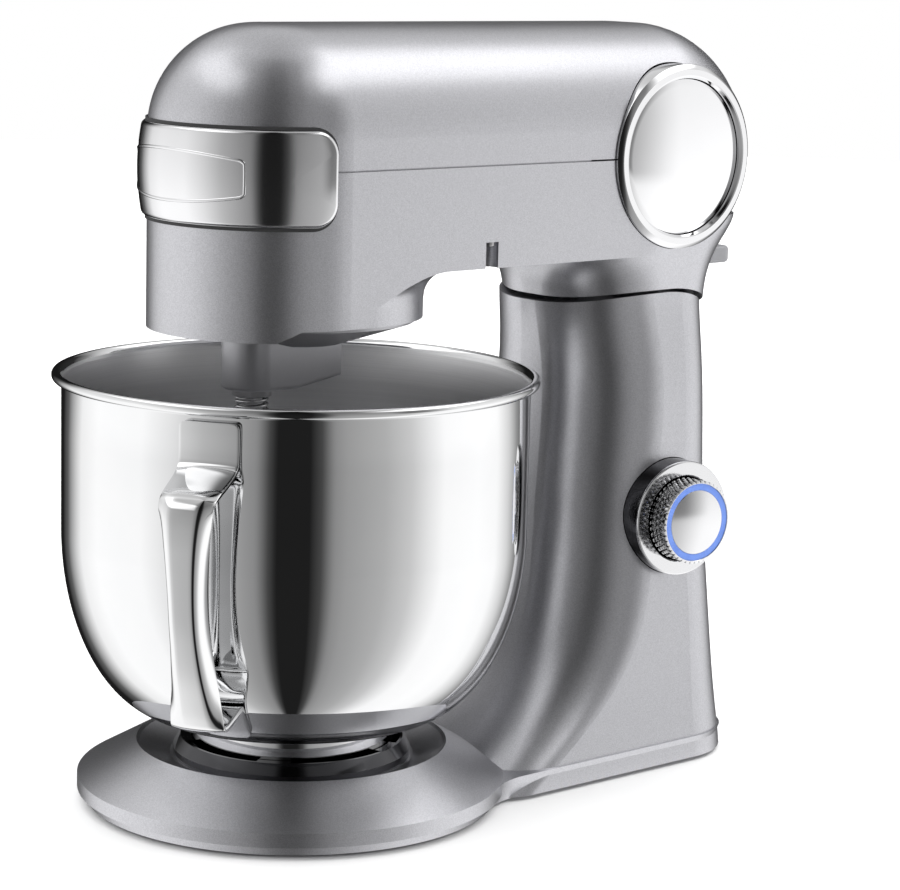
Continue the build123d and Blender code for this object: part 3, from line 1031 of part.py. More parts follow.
knob -= dial_drum(SPINDLE_RADIUS + SEAT_FIT, knob_back - 1, knob_back + 5)
save("dial_knob", knob)
light_ring = dial_drum(LIGHT_OUTER_RADIUS, KNOB_PROJECTION - light_seat_depth, KNOB_PROJECTION - 0.5)
light_ring -= dial_drum(LIGHT_INNER_RADIUS, -20, 40)
save("dial_light_ring", light_ring)
cap_low = KNOB_PROJECTION - light_seat_depth
save("dial_cap", DIAL_PLANE * domed_disc(LIGHT_INNER_RADIUS - SEAT_FIT, cap_low, KNOB_PROJECTION - 0.3, 1.4))
ENCODER_DEPTH = 9.0
spindle = dial_drum(SPINDLE_RADIUS, -BEZEL_DEPTH - ENCODER_DEPTH + 2, knob_back + 4)
save("dial_spindle", spindle)
encoder = dial_drum(12, -BEZEL_DEPTH - ENCODER_DEPTH, -BEZEL_DEPTH)
encoder -= dial_drum(SPINDLE_RADIUS + RUNNING_FIT, -BEZEL_DEPTH - ENCODER_DEPTH + 1.5, 0)
save("speed_encoder", encoder)

# ---------------------------------------------------------------- release lever, its pin and spring, striker
PAWL_Y = 210.0
PAWL_HALF_WIDTH = 5.0
STRIKER_TOP_RADIUS = 80.0
STRIKER_ANGLE = -14.5
paddle = slab(Pos(0, (LEVER_PIVOT_Y + LEVER_TIP_Y) / 2) * RectangleRounded(2 * LEVER_HALF_WIDTH,
                                                                           LEVER_TIP_Y - LEVER_PIVOT_Y, 6),
              LEVER_PIVOT_Z - 5.5, LEVER_PIVOT_Z + 3)
paddle = fillet(paddle.edges().filter_by(lambda e: e.center().Y > LEVER_PIVOT_Y
                                         + 12 and abs(e.tangent_at(0.5).Z) < 0.5), 2.0)
inner_arm = block(-LEVER_HALF_WIDTH + 1, LEVER_HALF_WIDTH - 1, PAWL_Y - 4, LEVER_PIVOT_Y + 2,
                  LEVER_PIVOT_Z - 1, LEVER_PIVOT_Z + 3)
hub_barrel = drum_x(4.0, -LEVER_HALF_WIDTH, LEVER_HALF_WIDTH, LEVER_PIVOT_Y, LEVER_PIVOT_Z)
pawl = block(-PAWL_HALF_WIDTH, PAWL_HALF_WIDTH, PAWL_Y - 3, PAWL_Y + 3, LEVER_PIVOT_Z - 3, LEVER_PIVOT_Z)
release_lever = paddle + inner_arm + hub_barrel + pawl
release_lever -= drum_x(LEVER_PIN_RADIUS + RUNNING_FIT, -30, 30, LEVER_PIVOT_Y, LEVER_PIVOT_Z)
save("release_lever", release_lever)
pin_reach = LEVER_RIB_X + LEVER_RIB_THICKNESS
save("lever_pin", drum_x(LEVER_PIN_RADIUS, -pin_reach, pin_reach, LEVER_PIVOT_Y, LEVER_PIVOT_Z))
SPRING_TOP_Z = LEDGE_TOP_Z
latch_spring = Pos(0, PAWL_Y) * coil_stack(4.0, 1.0, 5, LEVER_PIVOT_Z + 3.05, SPRING_TOP_Z)
save("latch_spring", latch_spring)
striker_low = DECK_RADIUS + SEAT_FIT
striker = block(-6, 6, -3, 3, striker_low, STRIKER_TOP_RADIUS) - block(-3, 3, -4, 4, DECK_RADIUS + 2,
                                                                       STRIKER_TOP_RADIUS - 3)
striker = Pos(0, PIVOT_Y, PIVOT_Z) * Rot(STRIKER_ANGLE, 0, 0) * striker
save("latch_striker", striker)

# ---------------------------------------------------------------- column electrics and cord gland
board = block(BOARD_X - BOARD_THICKNESS, BOARD_X, 168, 212, 58, 116)
board += block(BOARD_X, BOARD_X + 14, 172, 196, 70, 90) + block(BOARD_X, BOARD_X + 9, 178, 202, 95, 112)
board += drum_x(5, BOARD_X, BOARD_X + 18, 204, 82)
board -= [drum_x(1.6, BOARD_X - 5, BOARD_X + 5, y, z) for y, z in BOARD_POSTS]
save("control_board", board)

CORD_BORE_RADIUS = 3.7
gland_front = COLUMN_REAR_Y - 4
gland_face = COLUMN_REAR_Y + 5
gland = drum_y(GLAND_HOLE_RADIUS - SEAT_FIT, gland_front, gland_face, GLAND_X, GLAND_Z)
gland += drum_y(GLAND_HOLE_RADIUS + 2.5, gland_face, gland_face + 2.5, GLAND_X, GLAND_Z)
gland = fillet(gland.edges().sort_by(lambda e: e.center().Y)[-1], 1.2)
gland -= drum_y(CORD_BORE_RADIUS, 200, 260, GLAND_X, GLAND_Z)
save("cord_gland", gland)

# ---------------------------------------------------------------- screws
stand_screws = [Pos(x, y, PLATE_BOTTOM) * Rot(180, 0, 0) * screw(M4_HEAD_RADIUS, M4_HEAD_HEIGHT, 1.8
                                                                 - SEAT_FIT, 8)
                for x, y, top in PLATE_SCREW_POSTS]
stand_screws += [Pos(x, y, seat_floor_top) * screw(M4_HEAD_RADIUS, 2.2, M4_SHANK_RADIUS, 9)
                 for x, y in SEAT_SCREW_PLACES]
stand_screws += [Pos(BOARD_X, y, z) * Rot(0, 90, 0) * screw(2.4, 1.5, 1.2 - SEAT_FIT, 7) for y,
                 z in BOARD_POSTS]
save("stand_screws", Compound([s for item in stand_screws for s in item.solids()]))

head_screws = [Pos(x, y, HINGE_PLATE_Z) * Rot(180, 0, 0) * screw(M4_HEAD_RADIUS, 2.2, M4_SHANK_RADIUS, 13)
               for x, y in HINGE_SCREW_PLACES]
head_screws += [Pos(x, y, MOTOR_PLATE_TOP_Z) * screw(M4_HEAD_RADIUS, 2.2, M4_SHANK_RADIUS, 10)
                for x, y in MOTOR_SCREW_PLACES]
head_screws += [Pos(x, CASE_SCREW_Y, CASE_SCREW_SEAT_Z) * Rot(180, 0, 0) * screw(3.0, 2.2, 1.5, 7)
                for x in (-CASE_SCREW_X, CASE_SCREW_X)]
head_screws += [Pos(x, y, COVER_PLATE_TOP_Z) * screw(M3_HEAD_RADIUS, 1.8, M3_SHANK_RADIUS, 8)
                for x, y in CASE_SCREW_PLACES]
save("head_screws", Compound([s for item in head_screws for s in item.solids()]))
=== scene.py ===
import json
import math

import bmesh
import bpy
from mathutils import Matrix, Vector


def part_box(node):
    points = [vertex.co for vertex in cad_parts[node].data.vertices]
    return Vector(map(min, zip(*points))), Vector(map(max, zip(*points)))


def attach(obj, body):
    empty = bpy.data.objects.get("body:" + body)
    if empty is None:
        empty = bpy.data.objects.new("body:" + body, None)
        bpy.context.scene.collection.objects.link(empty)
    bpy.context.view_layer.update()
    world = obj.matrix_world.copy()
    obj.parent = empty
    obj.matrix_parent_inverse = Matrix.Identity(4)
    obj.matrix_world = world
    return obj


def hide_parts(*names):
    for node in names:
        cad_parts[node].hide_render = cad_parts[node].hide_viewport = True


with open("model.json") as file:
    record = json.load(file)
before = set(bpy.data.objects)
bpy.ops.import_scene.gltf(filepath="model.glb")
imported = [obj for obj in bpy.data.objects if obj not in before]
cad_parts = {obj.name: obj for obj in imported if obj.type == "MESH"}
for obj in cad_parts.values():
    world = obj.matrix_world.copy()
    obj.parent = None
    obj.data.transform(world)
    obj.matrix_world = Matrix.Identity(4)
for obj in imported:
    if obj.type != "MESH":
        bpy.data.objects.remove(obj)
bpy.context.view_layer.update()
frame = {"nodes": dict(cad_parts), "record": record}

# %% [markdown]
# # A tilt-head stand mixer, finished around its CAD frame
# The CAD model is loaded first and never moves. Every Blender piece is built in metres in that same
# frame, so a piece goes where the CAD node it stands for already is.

MM = 0.001


def middle(node):
    """The centre of a CAD node's box."""
    low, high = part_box(node)
    return (low + high) / 2


BOWL_AXIS = Vector((middle("bowl_shell").x, middle("bowl_shell").y, 0))
print("bowl axis in mm:", [round(v / MM, 1) for v in BOWL_AXIS])

# %% [markdown]
# ## Camera
# A product shot is taken from a few steps away with a long lens, which keeps the machine's upright
# lines upright. The camera stands to the front right, a little above the bowl's rim, and aims
# slightly past the column. Its three axes are worked out by turning, tilting and rolling in order.

# %% The camera
CAMERA_AZIMUTH = math.radians(52.15)
CAMERA_DISTANCE = 1.3070
CAMERA_HEIGHT = 0.40415
CAMERA_TURN = math.radians(3.11)
CAMERA_TILT = math.radians(10.22)
CAMERA_ROLL = math.radians(1.44)
CAMERA_LENS_MM = 115.06
UP = Vector((0, 0, 1))


def aim_camera():
    """A long-lens camera set by its place round the bowl, then turned, tilted and rolled."""
    away = Vector((-math.sin(CAMERA_AZIMUTH), math.cos(CAMERA_AZIMUTH), 0))
    right = Vector((math.cos(CAMERA_AZIMUTH), math.sin(CAMERA_AZIMUTH), 0))
    turned = away * math.cos(CAMERA_TURN) + right * math.sin(CAMERA_TURN)
    right = right * math.cos(CAMERA_TURN) - away * math.sin(CAMERA_TURN)
    look = turned * math.cos(CAMERA_TILT) - UP * math.sin(CAMERA_TILT)
    top = UP * math.cos(CAMERA_TILT) + turned * math.sin(CAMERA_TILT)
    side = right * math.cos(CAMERA_ROLL) + top * math.sin(CAMERA_ROLL)
    top = top * math.cos(CAMERA_ROLL) - right * math.sin(CAMERA_ROLL)
    camera = bpy.data.objects.new("camera", bpy.data.cameras.new("camera"))
    camera.data.lens = CAMERA_LENS_MM
    camera.data.sensor_width = 36.0
    camera.data.clip_start = 0.05
    place = BOWL_AXIS - away * CAMERA_DISTANCE + UP * CAMERA_HEIGHT
    camera.matrix_world = Matrix.Translation(place) @ Matrix((side, top, -look)).transposed().to_4x4()
    bpy.context.scene.collection.objects.link(camera)
    return camera


bpy.context.scene.camera = aim_camera()
bpy.context.scene.view_settings.view_transform = "Standard"
print("camera at", [round(v, 3) for v in bpy.context.scene.camera.matrix_world.translation])

# %% [markdown]
# ## Writing shaders as expressions
# Node trees get long when each link is made by hand. Wire wraps one output socket, and the usual
# operators on it add Math nodes, so `1 - mask * 0.5` builds its own two nodes. Colours and vectors
# have their own Mix and Vector Math nodes. Tree holds one material or world and makes any node.


# %% Wire and Tree
class Wire:
    """A value on its way through a node tree."""

    def __init__(self, tree, socket):
        self.tree = tree
        self.socket = socket

    def __add__(self, other):
        return self.tree.maths("ADD", self, other)

    def __sub__(self, other):
        return self.tree.maths("SUBTRACT", self, other)

    def __mul__(self, other):
        return self.tree.maths("MULTIPLY", self, other)

    def __truediv__(self, other):
        return self.tree.maths("DIVIDE", self, other)

    def __rsub__(self, other):
        return self.tree.maths("SUBTRACT", other, self)

    def __rtruediv__(self, other):
        return self.tree.maths("DIVIDE", other, self)

    __radd__ = __add__
    __rmul__ = __mul__


class Tree:
    """One node tree, with its nodes made by expressions."""

    def __init__(self, owner):
        owner.use_nodes = True
        self.nodes = owner.node_tree.nodes
        self.links = owner.node_tree.links
        self.nodes.clear()

    def plug(self, socket, value):
        """Gives a socket a link or a plain value."""
        if isinstance(value, Wire):
            self.links.new(value.socket, socket)
        else:
            socket.default_value = value

    def node(self, kind, settings=None, inputs=None, output=0):
        """Any node: its settings first, then its sockets, by name or number."""
        made = self.nodes.new(kind)
        for name, value in (settings or {}).items():
            setattr(made, name, value)
        for name, value in (inputs or {}).items():
            self.plug(made.inputs[name], value)
        return Wire(self, made.outputs[output]) if len(made.outputs) else made

    def maths(self, operation, *values):
        """A Math node on plain values and wires."""
        inputs = dict(enumerate(values))
        return self.node("ShaderNodeMath", {"operation": operation}, inputs)

    def ramp(self, value, stops, interpolation="LINEAR"):
        """A ColorRamp through (position, grey or colour) stops."""
        made = self.nodes.new("ShaderNodeValToRGB")
        made.color_ramp.interpolation = interpolation
        marks = made.color_ramp.elements
        while len(marks) < len(stops):
            marks.new(0.5)
        for mark, (position, shade) in zip(marks, stops):
            mark.position = position
            colour = shade if isinstance(shade, tuple) else (shade, shade, shade)
            mark.color = (*colour, 1.0)
        self.plug(made.inputs["Fac"], value)
        return Wire(self, made.outputs["Color"])

    def blend(self, factor, first, second):
        """Mixes two colours."""
        inputs = {"Factor": factor, 6: first, 7: second}
        return self.node("ShaderNodeMix", {"data_type": "RGBA"}, inputs, output=2)

    def noise(self, where, scale, detail=2.0, roughness=0.5):
        """Noise between 0 and 1."""
        inputs = {"Vector": where, "Scale": scale, "Detail": detail, "Roughness": roughness}
        return self.node("ShaderNodeTexNoise", None, inputs)

    def stretched(self, where, scale):
        """The same place with each axis scaled by its own number."""
        return self.node("ShaderNodeVectorMath", {"operation": "MULTIPLY"}, {0: where, 1: scale})


def rgb(red, green, blue):
    """A colour with full alpha."""
    return (red, green, blue, 1.0)


# %% [markdown]
# ## Studio
# Polished metal shows nothing but the room, so the room is drawn as a world: two tall soft panels
# left and right of the camera, a black gap between them where the camera stands, black flags behind
# the machine, a dark gap above the panels and one long softbox overhead. The camera itself sees
# plain white. The floor is a pale sheet, and a wide soft sun above it keeps it white with only a
# faint shadow where the base stands. A glow high up behind lights the top of the base.

# %% The room that the metal reflects
# Bearing in degrees from the camera, positive to its right, and how bright the panel is there.
PANELS = [(-180, 0.01), (-158, 0.01), (-147, 0.10), (-138, 0.42), (-128, 0.82), (-112, 0.95),
          (-80, 0.92), (-62, 0.72), (-44, 0.45), (-24, 0.28), (-19, 0.24), (-13, 0.06), (-9, 0.012),
          (7, 0.012), (13, 0.06), (19, 0.24), (25, 0.30), (44, 0.40), (58, 0.55), (68, 0.76),
          (77, 0.93), (100, 0.98), (116, 0.93), (128, 0.62), (138, 0.25), (150, 0.03), (180, 0.01)]
# The ramps below run over height (0 straight down, 0.5 level, 1 straight up) or over bearing (0 and 1
# behind the machine, 0.5 towards the camera).
PANEL_HEIGHTS = [(0.0, 0.95), (0.42, 1.0), (0.52, 0.82), (0.66, 0.70), (0.80, 0.45), (1.0, 0.55)]
SOFTBOX_HEIGHTS = [(0.70, 0.0), (0.745, 1.0), (0.83, 1.0), (0.87, 0.0)]
SOFTBOX_RIGHT = [(0.60, 0.0), (0.70, 1.0), (0.86, 1.0), (0.91, 0.0)]
SOFTBOX_LEFT = [(0.10, 0.0), (0.20, 0.7), (0.34, 0.7), (0.42, 0.0)]
HORIZON_HEIGHTS = [(0.448, 0.0), (0.462, 1.0)]
DIM_BESIDE_PANEL = [(0.62, 0.0), (0.645, 0.62), (0.672, 0.62), (0.725, 0.0)]
BACK_GLOW_HEIGHTS = [(0.62, 0.0), (0.72, 0.75), (1.0, 0.45)]
FRONT_BEARINGS = [(0.10, 0.0), (0.20, 1.0), (0.80, 1.0), (0.90, 0.0)]
PANEL_STRENGTH = 1.30
SOFTBOX_STRENGTH = 1.45


def build_room():
    """The world: panels by compass direction, a softbox by height, plain white for the camera."""
    world = bpy.data.worlds.new("studio")
    bpy.context.scene.world = world
    tree = Tree(world)
    direction = tree.node("ShaderNodeTexCoord", output=0)
    split = tree.nodes.new("ShaderNodeSeparateXYZ")
    tree.plug(split.inputs[0], direction)
    x, y, z = (Wire(tree, split.outputs[i]) for i in range(3))
    sin_a, cos_a = math.sin(CAMERA_AZIMUTH), math.cos(CAMERA_AZIMUTH)
    towards = x * sin_a - y * cos_a
    rightward = x * cos_a + y * sin_a
    bearing = tree.maths("ARCTAN2", rightward, towards) / (2 * math.pi) + 0.5
    height = tree.maths("ARCSINE", z) / math.pi + 0.5
    left_half = [(0.5 + a / 360, v) for a, v in PANELS if a <= 0]
    right_half = [(0.5 + a / 360, v) for a, v in PANELS if a > 0]
    left = tree.ramp(bearing, left_half)
    right = tree.ramp(bearing, right_half)
    is_right = tree.maths("GREATER_THAN", bearing, 0.5)
    panels = tree.blend(is_right, left, right)
    fade = tree.ramp(height, PANEL_HEIGHTS)
    band = tree.ramp(height, SOFTBOX_HEIGHTS, "EASE")
    reach = tree.ramp(bearing, SOFTBOX_RIGHT, "EASE")
    reach_left = tree.ramp(bearing, SOFTBOX_LEFT, "EASE")
    box = (reach + reach_left) * band * SOFTBOX_STRENGTH
    above_floor = tree.ramp(height, HORIZON_HEIGHTS)
    beside_panel = tree.ramp(bearing, DIM_BESIDE_PANEL)
    back_glow = tree.ramp(height, BACK_GLOW_HEIGHTS)
    behind = 1 - tree.ramp(bearing, FRONT_BEARINGS)
    walls = panels * fade * (1 - above_floor * beside_panel) * PANEL_STRENGTH
    lit = walls + box + back_glow * behind
    camera_ray = tree.node("ShaderNodeLightPath", output=0)
    strength = camera_ray + (1 - camera_ray) * lit
    light = tree.node("ShaderNodeBackground", None, {"Color": rgb(1, 1, 1), "Strength": strength})
    tree.node("ShaderNodeOutputWorld", None, {"Surface": light})


build_room()

# %% Floor and the overhead lamp
FLOOR_RADIUS = 4.0
FLOOR_DROP = 0.2
LAMP_HEIGHT = 1.9
LAMP_SPREAD_DEGREES = 110
LAMP_STRENGTH = 3.4


def build_floor():
    """A pale round floor sheet that the reflections don't see."""
    tile = bmesh.new()
    bmesh.ops.create_circle(tile, cap_ends=True, segments=96, radius=FLOOR_RADIUS)
    mesh = bpy.data.meshes.new("floor")
    tile.to_mesh(mesh)
    tile.free()
    floor = bpy.data.objects.new("floor", mesh)
    bpy.context.scene.collection.objects.link(floor)
    floor.location.z = -FLOOR_DROP * MM
    floor.visible_glossy = False
    paper = bpy.data.materials.new("floor_paper")
    tree = Tree(paper)
    surface = tree.node("ShaderNodeBsdfDiffuse", None, {"Color": rgb(0.93, 0.93, 0.93)})
    tree.node("ShaderNodeOutputMaterial", None, {"Surface": surface})
    mesh.materials.append(paper)
    return floor


def hang_lamp():
    """A wide soft sun overhead, which mostly lights the floor and the matt pieces."""
    lamp = bpy.data.lights.new("overhead", "SUN")
    lamp.angle = math.radians(LAMP_SPREAD_DEGREES)
    lamp.energy = LAMP_STRENGTH
    hung = bpy.data.objects.new("overhead", lamp)
    hung.location = BOWL_AXIS + Vector((0.1, 0.1, LAMP_HEIGHT))
    hung.visible_glossy = False
    hung.visible_camera = False
    bpy.context.scene.collection.objects.link(hung)


build_floor()
hang_lamp()

# %% [markdown]
# ## Finishes
# Each finish is one small recipe. Bare metals differ mostly in roughness and in the marks that
# polishing, brushing or casting leaves, so those marks drive roughness and a shallow bump. Patterns
# are placed by the mesh's own coordinates in metres, so their scale is real.


# %% A starting point for every finish
FINISHES = {}


def finish(name, colour, metallic=0.0, roughness=0.5, **numbers):
    """A Principled material with numbers on its sockets: gives its tree, surface and coordinates."""
    material = bpy.data.materials.new(name)
    tree = Tree(material)
    surface = tree.nodes.new("ShaderNodeBsdfPrincipled")
    surface.inputs["Base Color"].default_value = rgb(*colour)
    surface.inputs["Metallic"].default_value = metallic
    surface.inputs["Roughness"].default_value = roughness
    for socket, value in numbers.items():
        surface.inputs[socket.replace("_", " ")].default_value = value
    tree.node("ShaderNodeOutputMaterial", None, {"Surface": Wire(tree, surface.outputs[0])})
    where = tree.node("ShaderNodeTexCoord", output=3)
    FINISHES[name] = material
    return tree, surface, where


def add_bump(tree, surface, height, distance):
    """A shallow relief, its depth in metres."""
    numbers = {"Height": height, "Distance": distance, "Strength": 1.0}
    relief = tree.node("ShaderNodeBump", None, numbers)
    tree.plug(surface.inputs["Normal"], relief)


# %% Silver paint with fine metal flake under a clear coat
def silver_paint():
    tree, surface, where = finish("silver_paint", (0.53, 0.53, 0.555), 0.96, 0.3,
                                  Coat_Weight=0.35, Coat_Roughness=0.12)
    flake = tree.node("ShaderNodeTexVoronoi", None, {"Vector": where, "Scale": 3200.0}, output=1)
    sparkle = tree.node("ShaderNodeSeparateColor", None, {0: flake})
    colour = tree.blend(sparkle, rgb(0.50, 0.50, 0.525), rgb(0.64, 0.64, 0.67))
    tree.plug(surface.inputs["Base Color"], colour)
    haze = tree.noise(where, 14.0, 3.0)
    tree.plug(surface.inputs["Roughness"], 0.31 + haze * 0.06)
    peel = tree.noise(where, 420.0, 1.0)
    add_bump(tree, surface, peel, 0.012 * MM)


silver_paint()

# %% Polished and brushed steel of the bowl
BRUSH_LINES = 2600.0


def polished_steel():
    tree, surface, where = finish("polished_steel", (0.80, 0.80, 0.81), 1.0, 0.04)
    lines = tree.noise(tree.stretched(where, (30.0, 30.0, BRUSH_LINES)), 1.0, 3.0, 0.6)
    smears = tree.noise(where, 22.0, 4.0, 0.6)
    tree.plug(surface.inputs["Roughness"], 0.012 + lines * 0.02 + smears * 0.02)
    tint = tree.blend(smears, rgb(0.77, 0.775, 0.785), rgb(0.83, 0.83, 0.83))
    tree.plug(surface.inputs["Base Color"], tint)


def brushed_steel_inside():
    tree, surface, where = finish("brushed_inside", (0.62, 0.62, 0.63), 1.0, 0.3)
    centred = tree.node("ShaderNodeVectorMath", {"operation": "SUBTRACT"},
                        {0: where, 1: tuple(BOWL_AXIS)})
    flat = tree.stretched(centred, (1.0, 1.0, 0.0))
    radius = tree.node("ShaderNodeVectorMath", {"operation": "LENGTH"}, {0: flat}, output=1)
    split = tree.nodes.new("ShaderNodeSeparateXYZ")
    tree.plug(split.inputs[0], centred)
    depth = Wire(tree, split.outputs[2])
    rings = tree.node("ShaderNodeCombineXYZ", None,
                      {0: radius * BRUSH_LINES, 1: depth * BRUSH_LINES})
    drift = tree.noise(centred, 9.0, 2.0)
    brushing = tree.noise(rings, 1.0, 3.0, 0.65)
    tree.plug(surface.inputs["Roughness"], 0.24 + brushing * 0.14 + drift * 0.04)
    tint = tree.blend(brushing, rgb(0.70, 0.70, 0.71), rgb(0.90, 0.90, 0.91))
    tree.plug(surface.inputs["Base Color"], tint)
    add_bump(tree, surface, brushing, 0.006 * MM)


polished_steel()
brushed_steel_inside()


# %% Chrome, mirror and dark chrome
def plated(name, light, dark, roughness, smear):
    """Plated trim with faint smears from handling."""
    tree, surface, where = finish(name, light, 1.0, roughness)
    cloud = tree.noise(where, 35.0, 4.0, 0.55)
    tree.plug(surface.inputs["Roughness"], roughness + cloud * smear)
    tree.plug(surface.inputs["Base Color"], tree.blend(cloud, rgb(*dark), rgb(*light)))


plated("chrome", (0.86, 0.86, 0.87), (0.80, 0.80, 0.81), 0.035, 0.03)
plated("satin_chrome", (0.84, 0.84, 0.85), (0.78, 0.78, 0.79), 0.10, 0.04)
plated("mirror", (0.92, 0.92, 0.93), (0.88, 0.88, 0.89), 0.02, 0.015)
plated("dark_chrome", (0.10, 0.10, 0.105), (0.07, 0.07, 0.075), 0.05, 0.04)


# %% Cast, machined and ground metals of the works
def grained(name, light, dark, roughness, grain_scale, depth, metallic=1.0,
            stretch=(1.0, 1.0, 1.0)):
    """A bare metal whose grain shades its colour, roughness and relief."""
    tree, surface, where = finish(name, light, metallic, roughness)
    grain = tree.noise(tree.stretched(where, stretch), grain_scale, 4.0, 0.6)
    stain = tree.noise(where, 40.0, 3.0)
    tint = tree.blend(grain * 0.6 + stain * 0.4, rgb(*dark), rgb(*light))
    tree.plug(surface.inputs["Base Color"], tint)
    tree.plug(surface.inputs["Roughness"], roughness - 0.06 + grain * 0.12)
    add_bump(tree, surface, grain, depth * MM)


grained("die_cast", (0.62, 0.62, 0.63), (0.50, 0.50, 0.51), 0.42, 1400.0, 0.03)
grained("bright_steel", (0.66, 0.66, 0.67), (0.56, 0.56, 0.57), 0.20, 900.0, 0.006,
        stretch=(1.0, 1.0, 4.0))
grained("steel_gear", (0.50, 0.50, 0.50), (0.38, 0.38, 0.39), 0.30, 1200.0, 0.01)
grained("iron_core", (0.20, 0.19, 0.19), (0.13, 0.12, 0.12), 0.55, 2.0, 0.03, 0.7,
        (30.0, 30.0, 900.0))
grained("brass", (0.76, 0.58, 0.30), (0.62, 0.45, 0.22), 0.28, 900.0, 0.01)
grained("zinc_paint", (0.52, 0.52, 0.54), (0.45, 0.45, 0.47), 0.34, 700.0, 0.012, 0.9)


# %% Rubber, plastics, circuit board and the lit ring
def moulded(name, light, dark, roughness, pebble_scale, depth, **numbers):
    """A moulded plastic or rubber skin with a fine pebble."""
    tree, surface, where = finish(name, light, 0.0, roughness, **numbers)
    pebble = tree.noise(where, pebble_scale, 3.0, 0.55)
    wear = tree.noise(where, 18.0, 3.0)
    tint = tree.blend(pebble * 0.5 + wear * 0.5, rgb(*dark), rgb(*light))
    tree.plug(surface.inputs["Base Color"], tint)
    tree.plug(surface.inputs["Roughness"], roughness - 0.05 + wear * 0.1)
    add_bump(tree, surface, pebble, depth * MM)


moulded("black_rubber", (0.035, 0.035, 0.036), (0.018, 0.018, 0.019), 0.62, 1500.0, 0.03)
moulded("grey_rubber", (0.30, 0.30, 0.31), (0.22, 0.22, 0.23), 0.65, 1500.0, 0.03)
moulded("black_plastic", (0.04, 0.04, 0.043), (0.025, 0.025, 0.027), 0.42, 1200.0, 0.02)
moulded("grey_plastic", (0.33, 0.33, 0.345), (0.27, 0.27, 0.285), 0.36, 1200.0, 0.02)
moulded("pale_plastic", (0.74, 0.74, 0.72), (0.66, 0.66, 0.64), 0.40, 1200.0, 0.02)
moulded("green_board", (0.02, 0.17, 0.07), (0.01, 0.11, 0.045), 0.25, 300.0, 0.02)


def blue_light():
    """The translucent ring round the knob's cap, lit from behind and brighter where its lamps sit."""
    tree, surface, where = finish("blue_light", (0.10, 0.20, 0.62), 0.0, 0.28,
                                  Emission_Strength=0.10, Coat_Weight=0.5)
    lamps = tree.noise(where, 160.0, 1.0)
    glow = tree.blend(lamps, rgb(0.09, 0.19, 0.62), rgb(0.16, 0.30, 0.80))
    tree.plug(surface.inputs["Base Color"], glow)
    tree.plug(surface.inputs["Emission Color"], glow)


blue_light()
print("finishes:", sorted(FINISHES))

# %% Every CAD node takes its record slot's finish
SLOT_OF = {part["node"]: part["material_slot"] for part in frame["record"]["subparts"]}


def dress(obj, finish_name):
    """Puts one finish on an object in place of what it has."""
    obj.data.materials.clear()
    obj.data.materials.append(FINISHES[finish_name])


for node_name, node_object in frame["nodes"].items():
    dress(node_object, SLOT_OF[node_name])
print("dressed", len(frame["nodes"]), "CAD nodes")

# %% [markdown]
# ## Turned pieces
# Bowls, rings, discs and knobs are round, so each is one outline spun about its axis. The outline is
# drawn in millimetres as radius and height, and a matrix puts it on the real axis, which comes from
# the CAD node's box or from its joint. An edge that catches light gets a few points of its own.


# %% Mesh helpers
def finished_mesh(name, shape, sharp_degrees=38):
    """Turns a bmesh into a smooth-shaded object with crisp corners."""
    bmesh.ops.recalc_face_normals(shape, faces=shape.faces)
    mesh = bpy.data.meshes.new(name)
    shape.to_mesh(mesh)
    shape.free()
    mesh.shade_smooth()
    mesh.set_sharp_from_angle(angle=math.radians(sharp_degrees))
    obj = bpy.data.objects.new(name, mesh)
    bpy.context.scene.collection.objects.link(obj)
    return obj


def install(obj, body, slot, finish_name, *nodes):
    """Dresses a piece, puts it on the body that carries it and hides the CAD nodes it stands for."""
    dress(obj, finish_name)
    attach(obj, body)
    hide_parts(*nodes)
    print(obj.name, "has", len(obj.data.polygons), "faces")
    return obj


def skin(shape, rows, closed_rows=False, closed_columns=True):
    """Joins rows of vertices with faces; a row of one vertex is a pole."""
    pairs = list(zip(rows, rows[1:] + rows[:1])) if closed_rows else list(zip(rows, rows[1:]))
    for low, high in pairs:
        count = max(len(low), len(high))
        for i in range(count if closed_columns else count - 1):
            j = (i + 1) % count
            corners = [low[i % len(low)], low[j % len(low)], high[j % len(high)], high[i % len(high)]]
            corners = [c for n, c in enumerate(corners) if c not in corners[:n]]
            if len(corners) > 2:
                shape.faces.new(corners)


def lathe(name, outline, place, turns=192, sharp_degrees=38):
    """Spins an outline of (radius, height) in mm about the z axis of a place."""
    shape = bmesh.new()
    rows = []
    for radius, height in outline:
        count = 1 if radius < 1e-6 else turns
        row = []
        for i in range(count):
            angle = 2 * math.pi * i / count
            point = Vector((radius * math.cos(angle), radius * math.sin(angle), height)) * MM
            row.append(shape.verts.new(place @ point))
        rows.append(row)
    skin(shape, rows, closed_rows=len(rows[0]) > 1)
    return finished_mesh(name, shape, sharp_degrees)


def arc(centre, radius, start, end, steps=6):
    """Points of an arc in the outline's plane, its angles in degrees."""
    points = []
    for i in range(steps + 1):
        angle = math.radians(start + (end - start) * i / steps)
        points.append((centre[0] + radius * math.cos(angle), centre[1] + radius * math.sin(angle)))
    return points


def axis_place(origin, axis):
    """A matrix whose z axis points along the given axis."""
    turn = Vector((0, 0, 1)).rotation_difference(Vector(axis)).to_matrix().to_4x4()
    return Matrix.Translation(origin) @ turn


# %% [markdown]
# ## The bowl
# A steel bowl is spun from one sheet: a flat bottom, a side that swells like a quarter of an ellipse,
# a straight upper wall, and an edge rolled outwards into a bead. The outside is polished like a
# mirror and the inside is brushed in circles, so the inner faces take a second material.

